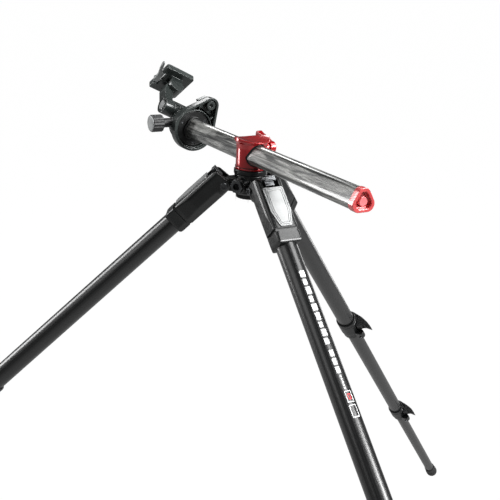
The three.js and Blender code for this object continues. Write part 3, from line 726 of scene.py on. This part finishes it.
# ------------------------------------------------------------------ column
COLUMN_START, COLUMN_END = -180.2, 252
PLUG = (5, 7.5)  # triangle that fits inside the tube
SET_SCREWS = [polar(21.5, a) for a in (30, 150, 270)]  # y and z
tube = cut(bar((6.4, 8.9), COLUMN_START, COLUMN_END - COLUMN_START), bar((6.4, 7.1), -230, 500))
piece("column_tube_body", tube, CROWN, "column", COLUMN, "column_tube", bevel=0.3)
end_cap = join(bar((7, 9.4), 252.3, 9.7), bar(PLUG, 236, 18))
end_cap = cut(end_cap, bar((5.2, 6.4), 256.5, 10), bar((1.2, 5.0), 222, 60))
piece("column_end_cap_ring", end_cap, CROWN, "column", CAP_RED_PAINTED_HIGHLIGHT, "column_end_cap",
      bevel=0.9, segs=4)
button = join(bar((1.2, 4.6), 246, 15), rod("x", 2.2, 222, 246.5, seg=24))
piece("release_button_pad", button, CROWN, "release_button", RED_PLASTIC, "release_button",
      bevel=0.8, segs=4)
head_disc = join(rod("x", 26.8, -185.4, -181, seg=96, chamfer=0.6),
                 bar((5, 12.8), -181, 4), bar(PLUG, -181, 18))
tube_groove = cut(bar((6.4, 9.2), -180.5, 10), bar(PLUG, -190, 30))
head_disc = cut(head_disc, tube_groove, rod("x", 5.1, -200, -150),
                *[rod("x", 2.6, -183.4, -170, at, seg=24) for at in SET_SCREWS])
piece("column_head_disc", head_disc, CROWN, "column", GREY_CAST, "column_head_plate",
      bevel=0.4)
for i, at in enumerate(SET_SCREWS):
    screw = cut(rod("x", 2.4, -183.2, -181.6, at, seg=32, chamfer=0.25),
                rod("x", 1.2, -182.6, -180, at, seg=6))
    piece(f"set_screw_{i + 1}", screw, CROWN, "column", DARK_STEEL)
THREAD_START, THREAD_PITCH = -196.5, 1.6
thread = [(0, -197), (4.3, -197)]
for i in range(18):
    crest = THREAD_START + THREAD_PITCH * i
    thread += [(4.76, crest), (4.2, crest + THREAD_PITCH / 2)]
thread += [(4.3, -168), (0, -168)]
piece("mounting_stud_thread", turned(thread, 40, along_x()), CROWN, "column", STEEL,
      "mounting_stud")

# ------------------------------------------------------------------ head base
LUG_ANGLE, LUG_DISTANCE = 51.5, 44
LUG = polar(LUG_DISTANCE, LUG_ANGLE)  # y and z of the small end of the teardrop
DRUM_RADIUS = 24.5
PAN_KNOB = (-202, 7)  # x and z
drum_profile = [(0, -214), (DRUM_RADIUS, -214), (DRUM_RADIUS, -189, 0), (0, -189)]
head_base = join(prism(teardrop(33.5, 12, LUG_DISTANCE, LUG_ANGLE), 14, along_x(-190)),
                 turned(drum_profile, 96, along_x(), radius=1.6, steps=5))
hollow = combine(
    prism(teardrop(29.5, 8.4, LUG_DISTANCE, LUG_ANGLE), 12, along_x(-185.8)),
    minus(cut(rod("x", 29.3, -190, -178, seg=96), rod("x", 27.6, -200, -170, seg=96)),
          rod("x", 7, -190, -177.5, LUG)))
head_base = cut(head_base, hollow)
webs = [block(-186.5, -178.5, 27, 36, -0.9, 0.9, turn(LUG_ANGLE + off, "X"))
        for off in (-24, 24)]
head_base = combine(
    head_base,
    plus(*webs)
    + minus(rod("x", 2.9, -200, -170, LUG, seg=32), rod("x", 5.1, -205, -170, seg=40),
            rod("x", 8.5, -220, -199), rod("y", CLAMP_BORE, -30, -12, PAN_KNOB, seg=32))
    + plus(block(-4.5, 4.5, -7.5, 7.5, -3.5, 3.5, shift((-193.5, 19, 41)) @ turn(18, "X"))))
piece("head_base_casting", head_base, CROWN, "column", HEAD_BLACK, "head_base",
      bevel=0.7, segs=3)

# degree marks round the drum, every sixth one long
ticks = [block(-213.0, -213.0 + (2.0 if i % 6 else 3.4), 24.42, 24.62, -0.22, 0.22,
               turn(i * 15, "X")) for i in range(24)]
piece("pan_scale_marks", merge(ticks), CROWN, "column", WHITE)

pan_grip = join(prism(fluted(13, 11.9, lobes=14), 17, side_on(-44, *PAN_KNOB)),
                rod("y", 7, -45, -25.2, PAN_KNOB, chamfer=0.5),
                rod("y", 2.9, -26, -13, PAN_KNOB, seg=24))
piece("pan_knob_grip", pan_grip, CROWN, "pan_lock_knob", KNOB, "pan_lock_knob",
      bevel=0.6, segs=3, angle=45)
pan_end_profile = [(0, 60.9), (10.6, 60.9), (11.8, 60.9), (11.8, 61.8), (10.4, 62.5),
                   (0, 62.5)]
towards_minus_y = basis((0, 0, 1), (1, 0, 0), (0, -1, 0), (PAN_KNOB[0], 0, PAN_KNOB[1]))
piece("pan_knob_end", turned(pan_end_profile, 64, towards_minus_y, radius=0.3),
      CROWN, "pan_lock_knob", CAP_GREY)

# ------------------------------------------------------------------ turning head
PIVOT_RADIUS = 13  # barrels on the tilt axis
pan_disc_profile = [(0, -218.6), (24, -218.6), (24, -214.4), (0, -214.4)]
barrel_profile = [(0, -23.6), (PIVOT_RADIUS, -23.6), (PIVOT_RADIUS, 17), (0, 17)]
pan_body = join(
    turned(pan_disc_profile, 96, along_x(), radius=0.8),
    rod("x", 8.1, -215, -200.2),
    turned(barrel_profile, 72, along_y(*TILT_AXIS), radius=1.2, steps=4),
    block(TILT_AXIS[0], -217, -PIVOT_RADIUS, PIVOT_RADIUS, -6, 23))
pan_body = cut(pan_body, rod("y", 5.4, -40, 40, TILT_AXIS))
piece("pan_body_casting", pan_body, HEAD, "head_pan", HEAD_BLACK, "pan_body",
      bevel=0.8, segs=3)
tilt_grip = combine(prism(fluted(12, 11, lobes=12), 13, side_on(33, *TILT_AXIS)),
                    plus(rod("y", 8, 17.4, 21, TILT_AXIS))
                    + minus(rod("y", 5.4, 10, 24.4, TILT_AXIS, seg=40)))
piece("tilt_knob_grip", tilt_grip, HEAD, "tilt_lock_knob", KNOB, "tilt_lock_knob",
      bevel=0.6, segs=3, angle=45)
tilt_end_profile = [(0, 33.2), (9.6, 33.2), (9.6, 34.0), (8.8, 34.5), (0, 34.5)]
piece("tilt_knob_end", turned(tilt_end_profile, 56, along_y(*TILT_AXIS), radius=0.2),
      HEAD, "tilt_lock_knob", CAP_GREY)

# ------------------------------------------------------------------ tilting arm
ROLL = (-21, 40)  # plate clamp axis along x, y and z in TILT
ROLL_Y, ROLL_Z = ROLL
arm_drum_profile = [(0, -39), (9.2, -39), (9.2, -38.4, 0.1), (11, -38.4, 0.1), (11, -39, 0.2),
                    (PIVOT_RADIUS, -39, 0.9), (PIVOT_RADIUS, -24, 0.9), (0, -24)]
stem = [(-38.6, 0, 0), (-25.5, 0, 0), (-24.6, 14), (-24, 30), (-20, 34), (-26, 44, 0),
        (-33.5, 42, 0), (-38.6, 30)]  # y, z, own radius
roll_drum_profile = [(0, -8.5), (12, -8.5), (12, 8.5), (0, 8.5)]
tilt_arm = join(
    turned(arm_drum_profile, 80, along_y(), radius=0.6, steps=4),
    rod("y", 5.1, -26, 24, seg=40),
    prism(fillet(stem, 4, 5, True), 17, along_x(-8.5)),
    turned(roll_drum_profile, 64, along_x(0, *ROLL), radius=0.9, steps=4))
tilt_arm = cut(tilt_arm, rod("x", 6.4, -20, 20, ROLL))
piece("tilt_arm_casting", tilt_arm, TILT, "head_tilt", HEAD_BLACK, "tilt_arm",
      bevel=0.8, segs=3)
badge_profile = [(0, 0), (7.4, 0), (7.4, 0.45), (6.9, 0.8), (0, 0.8)]
piece("tilt_drum_badge", turned(badge_profile, 48, side_on(-39.0), radius=0.2),
      TILT, "head_tilt", SILVER)

# ------------------------------------------------------------------ plate clamp
PLATE_CENTRE = (0, ROLL_Y)  # x and y
clamp = join(
    rod("x", 12, 8.9, 15.5, ROLL, seg=64),
    rod("x", 6.1, -12.5, 9.5, ROLL),
    rod("x", 9, -15, -12, ROLL, chamfer=0.6),
    block(8.9, 15.5, ROLL_Y - 10, ROLL_Y + 10, ROLL_Z, ROLL_Z + 15),
    prism(round_rect(54, 50, 3, 6, ROLL_Y), 8.6, lift(ROLL_Z + 12.4)))
# pocket for the plate, well for the screw head, lever gap on the -y side
clamp = cut(clamp,
            block(-24.3, 24.3, ROLL_Y - 21.3, ROLL_Y + 21.3, ROLL_Z + 16.9, ROLL_Z + 30),
            rod("z", 9.5, ROLL_Z + 14.4, ROLL_Z + 30, PLATE_CENTRE),
            block(-14, 12.6, ROLL_Y - 30, ROLL_Y - 17, ROLL_Z + 10, ROLL_Z + 30))
piece("plate_clamp_body", clamp, TILT, "head_roll", HEAD_BLACK, "plate_clamp",
      bevel=0.7, segs=3)
grooves = [block(-20 + i * 5, -18.6 + i * 5, ROLL_Y - 17, ROLL_Y + 17,
                 ROLL_Z + 24.3, ROLL_Z + 26) for i in range(9) if abs(-19.3 + i * 5) > 6]
plate = cut(prism(round_rect(48, 42, 4, 8, ROLL_Y), 7.5, lift(ROLL_Z + 17.2)),
            rod("z", 3.5, ROLL_Z, ROLL_Z + 40, PLATE_CENTRE, seg=32),
            rod("z", 9.2, ROLL_Z + 10, ROLL_Z + 20.4, PLATE_CENTRE),
            block(-14, 13, ROLL_Y - 30, ROLL_Y - 17, ROLL_Z, ROLL_Z + 21), *grooves)
piece("quick_plate_body", plate, TILT, "head_roll", SILVER, "quick_plate", bevel=0.4)
camera_screw = join(
    rod("z", 8.8, ROLL_Z + 17.4, ROLL_Z + 20, PLATE_CENTRE, seg=56, chamfer=0.3),
    rod("z", 3.17, ROLL_Z + 19, ROLL_Z + 30, PLATE_CENTRE, seg=32, chamfer=0.5))
piece("camera_screw_body", camera_screw, TILT, "camera_screw", STEEL, "camera_screw")
# blade outline: x, and y from the roll axis
blade = [(-11.6, -20), (-11.6, -27), (4, -28.5), (18, -34), (30, -37), (32, -34), (18, -29),
         (11.6, -26), (11.6, -23), (-4, -20)]
blade = fillet([(x, ROLL_Y + y) for x, y in blade], 1.4, 4, True)
plate_lever = join(prism(blade, 4.4, lift(ROLL_Z + 12.6)),
                   rod("z", 4, ROLL_Z + 12.6, ROLL_Z + 19.5, (-7, ROLL_Y - 24), seg=40))
piece("plate_lever_blade", soften(plate_lever, voxel=0.35, passes=4), TILT, "plate_lever",
      CAP_GREY, "plate_lever", smooth=50)

# ------------------------------------------------------------------ legs
# start, step, waist, end and lever are places along the leg; the collar grips the outer
# tube as far as step and the inner tube beyond it; reach is how far the lever goes in -y
LOCKS = [
    SimpleNamespace(name="upper", body="leg_{}", start=460, step=478.6, waist=496, end=512,
                    radius=17.4, neck=16.2, outer=TUBES["upper"][0],
                    inner=TUBES["middle"][0], lever=481, reach=47),
    SimpleNamespace(name="lower", body="leg_{}_middle", start=892, step=901.6, waist=925,
                    end=940, radius=15.2, neck=13.6, outer=TUBES["middle"][0],
                    inner=TUBES["lower"][0], lever=911, reach=42),
]
LEVER_HALF = 9.5  # half width of a lever along the leg
LEVER_PIN_Z = 7
BARREL_Y, BARREL_Z = -5, -5  # tension screw barrel: y beyond the collar radius, and z


def yoke_solid():
    """Hollow casting: common part of its side, plan and cross section, softened."""
    side = (arc(*HINGE, 9, 170, 268, 16)
            + fillet([(14, -17), (95, -17, 5), (95, 16.4, 5), (74, 17.4)], 1, 6)
            + [(5, 17.4)]
            + fillet([(5, 17.4), (-0.4, 15.4), (-3.1, 11.2), (-5.1, -5)], 4, 6)[1:-1])
    plan = fillet([(-8, -20, 3), (52, -20, 8), (74, -18.4, 6), (95, -17.4, 5),
                   (95, 17.4, 5), (74, 18.4, 6), (52, 20, 8), (-8, 20, 3)], 3, 6, True)
    section = fillet([(-20, -17, 10), (20, -17, 10), (20, 17.4, 8.5), (-20, 17.4, 8.5)],
                     7, 8, True)
    trim_seat = [(13.5, -15.3), (50, -15.3), (69, -10.3), (72.3, -8.3),
                 (72.3, 8.3), (69, 10.3), (50, 15.3), (13.5, 15.3)]
    yoke = common(prism(side, 50, side_on(25)), prism(plan, 60, lift(-30)),
                  prism(section, 130, along_x(-20)))
    # the two lower edges are cut away at a slant
    yoke = cut(yoke, prism([(-21, -5), (-21, -18), (-11.5, -18)], 90, along_x(16)),
               prism([(21, -5), (11.5, -18), (21, -18)], 90, along_x(16)))
    return cut(
        soften(yoke, voxel=0.8, passes=16),
        block(-12, 14, -12.2, 12.2, -40, 40),
        rod("x", 14.9, 20, 110, seg=64),
        rod("y", HINGE_BORE, -30, 30, HINGE, seg=32),
        prism(trim_seat, 10, lift(16.2)),
        # parting groove round the end of the casting
        cut(block(73.4, 77.6, -30, 30, -30, 30), block(60, 90, -16.2, 16.2, -15.6, 14.9)))


def trim_solid():
    """Tapered plate on the yoke's upper face, with two engraved outlines."""
    outline = fillet([(14, -15), (50, -15), (68.7, -10), (72, -8),
                      (72, 8), (68.7, 10), (50, 15), (14, 15)], 2.4, 6, True)

    def inset(d):
        half = [(14 + d, -15 + d), (50 - d * 0.2, -15 + d),
                (68.2 - d * 0.3, -10 + d * 0.9), (72 - d, -8 + d * 0.4)]
        return fillet(half + [(x, -y) for x, y in reversed(half)], 1.6, 4, True)

    groove = cut(prism(inset(1.8), 2, lift(18.15)), prism(inset(2.7), 6, lift(15)))
    inner = cut(prism(inset(4.6), 2, lift(18.3)), prism(inset(5.2), 6, lift(15)))
    return cut(prism(outline, 2.3, lift(16.5)), groove, inner)


def tab_solid():
    """Angle stop with three V grooves across its top."""
    tab = join(block(-2.5, 9.2, -7, 7, 3.5, 15), block(-2.5, 4, -9, 9, 13, 19.4))
    starts = [i * 2.1 for i in range(3)]
    return cut(tab, *[prism([(-3.2 + x, 19.8), (-1.6 + x, 19.8), (-2.4 + x, 18.8)],
                            30, side_on(15)) for x in starts])


def pin_solid():
    """Hinge pin with a round head and hexagonal recess at both ends."""
    pin = join(rod("y", 3, -21, 21, HINGE, seg=32),
               rod("y", 5.2, 20.4, 22.4, HINGE, seg=40, chamfer=0.5),
               rod("y", 5.2, -22.4, -20.4, HINGE, seg=40, chamfer=0.5))
    return cut(pin, rod("y", 2.6, 21.2, 24, HINGE, seg=6),
               rod("y", 2.6, -24, -21.2, HINGE, seg=6))


def tube_solid(outer, inner, start, end):
    r, q = outer / 2, inner / 2
    return turned([(q, start + 0.4), (q + 0.4, start), (r - 0.5, start), (r, start + 0.5),
                   (r, end - 0.5), (r - 0.5, end), (q + 0.4, end), (q, end - 0.4)],
                  96, along_x())


def lock_solid(lock):
    """Stepped collar with ears for the lever and a barrel for the tension screw."""
    pin_y, pin_z, mid = lock.radius + 2, LEVER_PIN_Z, lock.lever
    pin = (pin_y, pin_z)
    r, neck, f, waist, end = lock.radius, lock.neck, lock.start, lock.waist, lock.end
    profile = [
        (0, f), (r - 0.2, f, 1.0), (r, f + 1.4, 0.5), (r, f + 6.4, 0.3),
        (r - 0.5, f + 6.8, 0.2), (r - 0.5, f + 7.6, 0.2), (r, f + 8.0, 0.3),
        (r, waist - 2, 2.5), (neck, waist + 2, 2.5), (neck, end - 3.2, 0.3),
        (neck - 0.6, end - 2.6, 0.3), (neck - 0.6, end, 0.8), (0, end)]
    ears = cut(join(rod("x", 4.6, mid - 10.2, mid + 10.2, pin, seg=40),
                    block(mid - 10.2, mid + 10.2, pin_y - 9, pin_y, pin_z - 4.6, pin_z + 2)),
               block(mid - 5.6, mid + 5.6, pin_y - 4.9, pin_y + 8, pin_z - 8, pin_z + 8))
    barrel_start = mid + LEVER_HALF + 1.2
    barrel = [(0, barrel_start), (6, barrel_start), (6, end - 4), (0, end - 4)]
    body = join(turned(profile, 80, along_x(), radius=0.8, steps=4), ears,
                turned(barrel, 48, along_x(0, -r + BARREL_Y, BARREL_Z), radius=1.4, steps=4),
                block(mid + LEVER_HALF + 2.2, end - 5, -r - 5, -r + 4, -10.6, 0.6))
    return cut(body,
               rod("x", lock.outer / 2 + 0.3, f - 5, lock.step, seg=80),
               rod("x", lock.inner / 2 + 0.3, lock.step - 5, end + 5, seg=80),
               rod("x", 2.4, mid - 20, mid + 20, pin, seg=24),
               rod("x", 5.2, mid - 5.6, mid + 5.6, pin, seg=36),
               # slit that lets the collar close on the tube
               block(waist - 1, end + 1, -r - 12, -neck + 5, -1.3, -0.3))


def lever_solid(lock):
    """Curved lever from its pin on the +y side over the collar to a fin towards -y."""
    pin_y, pin_z, mid = lock.radius + 2, LEVER_PIN_Z, lock.lever
    pin = (pin_y, pin_z)
    inner, outer, r = lock.radius + 0.7, lock.radius + 4, lock.radius
    k = lock.reach / 47
    fin = [
        polar(outer, 111), (-22 * k, outer * 0.76), (-34 * k, 10.6), (-42 * k, 5.2),
        (-lock.reach, 0.8, 0.6), (-41 * k, 1.6), (-34 * k, 2.6), (-27.5 * k, 1.2),
        (-r - 4.4, -3.4), (-r - 1, -3.6), polar(inner, 189)]
    outline = [(pin_y - 1.6, pin_z - 3), (pin_y + 3.4, pin_z - 2.4),
               (pin_y + 4.4, pin_z + 1.5), (pin_y + 2.2, pin_z + 6)]
    outline += arc(0, 0, outer, 42, 112, 18)
    outline += fillet(fin, 3.5, 6)[1:-1]
    outline += arc(0, 0, inner, 189, 36, 36)
    w = LEVER_HALF
    # y, and x from the lever's middle: the fin narrows towards its tip
    plan = fillet([(-60, -2.5), (-34, -6.5), (-16, -w), (40, -w),
                   (40, w), (-16, w), (-34, 6.5), (-60, 2.5)], 6, 6, True)
    downwards = basis((0, 1, 0), (1, 0, 0), (0, 0, -1), (mid, 0, 40))
    arm = common(prism(outline, 2 * w, along_x(mid - w)), prism(plan, 80, downwards))

    def tube_space():
        return rod("x", inner, mid - 30, mid + 30, seg=96)

    arm = cut(soften(arm, voxel=0.6, passes=4), tube_space())
    arm = cut(arm, rod("x", 5.3, mid - 20, mid - 5.2, pin, seg=36),
              rod("x", 5.3, mid + 5.2, mid + 20, pin, seg=36))
    knuckle = cut(rod("x", 4.4, mid - 5.2, mid + 5.2, pin, seg=36), tube_space())
    return join(arm, knuckle, rod("x", 2.1, mid - 10.2, mid + 10.2, pin, seg=24))


def tension_screw_solid(lock):
    profile = [(0, 0), (2.6, 0), (2.6, 1.1), (2.2, 1.5), (0, 1.5)]
    screw = cut(turned(profile, 32, along_y(), radius=0.2), rod("y", 1.3, 0.6, 3, seg=6))
    place = (lock.end - 8.0, -lock.radius + BARREL_Y, BARREL_Z - 6.3)
    screw.transform(shift(place) @ turn(-90, "X"))
    return screw


def foot_solid(leg):
    """Domed rubber foot, cut flat where it meets the ground."""
    e, r = LEG_END, 13
    dome = [(r * math.cos(i / 16 * math.pi / 2), e - r + r * math.sin(i / 16 * math.pi / 2))
            for i in range(16)]
    sleeve = [(0, e - 44), (11.2, e - 44), (11.8, e - 43.4), (11.8, e - 39), (11.3, e - 38.5),
              (11.3, e - 37.7), (11.8, e - 37.2), (11.8, e - 32), (12.1, e - 29.5),
              (12.7, e - 27), (r, e - 24)]
    foot = cut(turned(sleeve + dome + [(0, e)], 72, along_x()),
               rod("x", 10.5, e - 49, e - 18.7, seg=56))
    tip = leg @ Vector((e, 0, 0))
    return cut(foot, block(tip.x - 60, tip.x + 60, tip.y - 60, tip.y + 60, 0, 40,
                           leg.inverted() @ lift(-40)))


yoke, trim, tab, pin = yoke_solid(), trim_solid(), tab_solid(), pin_solid()
tubes = {name: tube_solid(*sizes) for name, sizes in TUBES.items()}
lock_sets = [(lock, lock_solid(lock), lever_solid(lock), tension_screw_solid(lock))
             for lock in LOCKS]
foot = foot_solid(LEGS[0])
for number, at in enumerate(LEGS, 1):
    leg = f"leg_{number}"
    piece(f"{leg}_yoke_casting", yoke, at, leg, BLACK, f"{leg}_yoke", smooth=40)
    piece(f"{leg}_trim", trim, at, leg, TRIM, f"{leg}_trim_plate", bevel=0.28)
    stop = f"{leg}_angle_stop"
    piece(f"{leg}_stop_tab", tab, at, stop, DARK_STEEL, stop, bevel=0.45, segs=3)
    piece(f"{leg}_pin", pin, at, "base", DARK_STEEL, f"{leg}_hinge_pin")
    for name, tube in tubes.items():
        body = leg if name == "upper" else f"{leg}_{name}"
        piece(f"{leg}_{name}_carbon", tube, at, body, CARBON[name], f"{leg}_{name}_tube")
    for lock, collar, lever, screw in lock_sets:
        body = lock.body.format(number)
        part = f"{leg}_{lock.name}"
        piece(f"{part}_lock_collar", collar, at, body, PLASTIC, f"{part}_lock",
              bevel=0.6, segs=3)
        piece(f"{part}_lever_fin", lever, at, f"{part}_lever", PLASTIC, f"{part}_lever",
              smooth=50)
        piece(f"{part}_tension_screw", screw, at, body, DARK_STEEL)
    piece(f"{leg}_foot_rubber", foot, at, f"{leg}_lower", RUBBER, f"{leg}_foot",
          bevel=0.3, angle=50)


# ------------------------------------------------------------------ print on leg 1
def patch(start, end, a0, a1):
    """Thin patch on the upper tube, a0 to a1 degrees from its top towards -y."""
    n = max(2, int(abs(a1 - a0) / 4) + 1)
    r = TUBES["upper"][0] / 2
    verts = []
    for rr in (r - 0.1, r + 0.16):
        for x in (start, end):
            for i in range(n + 1):
                a = math.radians(a0 + (a1 - a0) * i / n)
                verts.append((x, -rr * math.sin(a), rr * math.cos(a)))
    k = n + 1
    faces = []
    # strips between rows of points: inside, outside and the two ends
    for i in range(n):
        for p, q in ((0, k), (2 * k, 3 * k), (0, 2 * k), (k, 3 * k)):
            faces.append([p + i, p + i + 1, q + i + 1, q + i])
    faces.append([0, k, 3 * k, 2 * k])
    faces.append([n, k + n, 3 * k + n, 2 * k + n])
    return solid_mesh(verts, faces)


def bar_row(start, gap, bars):
    """Bars (width, first angle, last angle) laid one after another."""
    out = []
    for width, a0, a1 in bars:
        out.append(patch(start, start + width, a0, a1))
        start += width + gap
    return out


def frame_marks(start, end, a0, a1, line=1.2, line_angle=4.5):
    return [patch(start, start + line, a0, a1), patch(end - line, end, a0, a1),
            patch(start + line + 0.02, end - line - 0.02, a0, a0 + line_angle),
            patch(start + line + 0.02, end - line - 0.02, a1 - line_angle, a1)]


marks = bar_row(136, 3.0, [
    (9, -12, 18), (8, -6, 16), (10, -12, 16), (8, -6, 16), (9, -12, 18), (10, -9, 16),
    (7, -6, 16), (9, -12, 16), (8, -6, 18)])
marks += bar_row(246, 2.6, [(8.5, -8, 15)] * 3)
marks += bar_row(246 + 3 * (8.5 + 2.6), 1.2, [(width, -2, 7) for width in (3, 2, 4, 2, 3)])
marks += frame_marks(300, 315, -24, 14) + frame_marks(318, 334, -24, 16)
piece("front_leg_print", merge(marks), LEGS[0], "leg_1", WHITE)
piece("front_leg_print_red", merge(frame_marks(303.6, 311.4, -13, 5, line=1.4)),
      LEGS[0], "leg_1", RED_INK)

# ------------------------------------------------------------------ floor and world
bm = bmesh.new()
bmesh.ops.create_grid(bm, x_segments=8, y_segments=8, size=60)
floor_mesh = bpy.data.meshes.new("floor")
bm.to_mesh(floor_mesh)
bm.free()


def floor_paper():
    """Grey paper that glows fully for the camera only, so its reflections stay quiet."""
    f = Finish("floor_paper")
    tone = f.noise(f.coords(), scale=3.0, detail=3, rough=0.5)
    f.look(Base_Color=f.mix(tone, (0.24, 0.24, 0.24), (0.28, 0.28, 0.28)),
           Roughness=0.8, Specular_IOR_Level=0.2)
    glow = f.add("Emission", Strength=1.06).outputs[0]
    shader = f.add("MixShader")
    rays = f.add("LightPath").outputs
    share = f.weighted((rays["Is Camera Ray"], 0.94), (rays["Is Glossy Ray"], 0.16))
    for socket, value in zip(shader.inputs, (share, f.bsdf.outputs[0], glow)):
        f.put(socket, value)
    f.put(f.output.inputs[0], shader.outputs[0])
    return f.material


floor_mesh.materials.append(floor_paper())
floor = bpy.data.objects.new("floor", floor_mesh)
scene.collection.objects.link(floor)

# white to the camera, dim as a light
world = bpy.data.worlds.new("studio")
scene.world = world
world.use_nodes = True
nodes, links = world.node_tree.nodes, world.node_tree.links
nodes.clear()
output = nodes.new("ShaderNodeOutputWorld")
background = nodes.new("ShaderNodeBackground")
background.inputs["Color"].default_value = (1, 1, 1, 1)
rays = nodes.new("ShaderNodeLightPath")
strength = nodes.new("ShaderNodeMapRange")
strength.inputs["To Min"].default_value = 0.045
strength.inputs["To Max"].default_value = 1.0
links.new(rays.outputs["Is Camera Ray"], strength.inputs["Value"])
links.new(strength.outputs[0], background.inputs["Strength"])
links.new(background.outputs[0], output.inputs[0])


# ------------------------------------------------------------------ lights and camera, metres
def from_crown(x, y, z):
    return Vector((SPIDER_X + x, y, COLUMN_Z / 1000 + z))


def area(name, at, aim, width, height, power):
    """Area light; at and aim are measured from the crown."""
    light = bpy.data.lights.new(name, "AREA")
    light.energy = power
    light.shape = "RECTANGLE"
    light.size = width
    light.size_y = height
    ob = bpy.data.objects.new(name, light)
    scene.collection.objects.link(ob)
    place = from_crown(*at)
    facing = (from_crown(*aim) - place).to_track_quat("-Z", "Y")
    ob.matrix_world = shift(place) @ facing.to_matrix().to_4x4()


# name, place, aim, width, height, power in watts
for row in (
    ("side_left", (-1.75, -1.75, 0.45), (0, 0, -0.1), 0.7, 2.2, 55),
    ("key_left", (0.1, -2.7, 1.55), (0, 0, -0.15), 1.8, 1.8, 16),
    ("top", (0.75, 0.75, 1.95), (0, 0, -0.15), 1.5, 1.5, 48),
    ("back_top", (-2.1, 0.5, 1.3), (0, 0, 0), 0.5, 0.6, 9),
    ("rim_right", (-1.2, 2.1, 0.25), (0, 0, -0.25), 0.5, 2.2, 10),
    ("front_right", (1.75, 1.15, 0.85), (0.4, 0, -0.4), 1.1, 0.9, 80),
):
    area(*row)

camera = bpy.data.cameras.new("camera")
camera.sensor_width = 36
camera.lens = 67.73
camera.clip_end = 200
camera_object = bpy.data.objects.new("camera", camera)
scene.collection.objects.link(camera_object)
camera_object.matrix_world = basis(
    (0.48457231, 0.87349228, 0.04691389),  # right
    (-0.29309394, 0.11159594, 0.94954847),  # up
    (0.82418786, -0.47387507, 0.3100916),  # backwards
    (1.0917 + SPIDER_X, -0.62247, 0.27198 + COLUMN_Z / 1000))
scene.camera = camera_object

scene.view_settings.view_transform = "Standard"
scene.view_settings.look = "None"
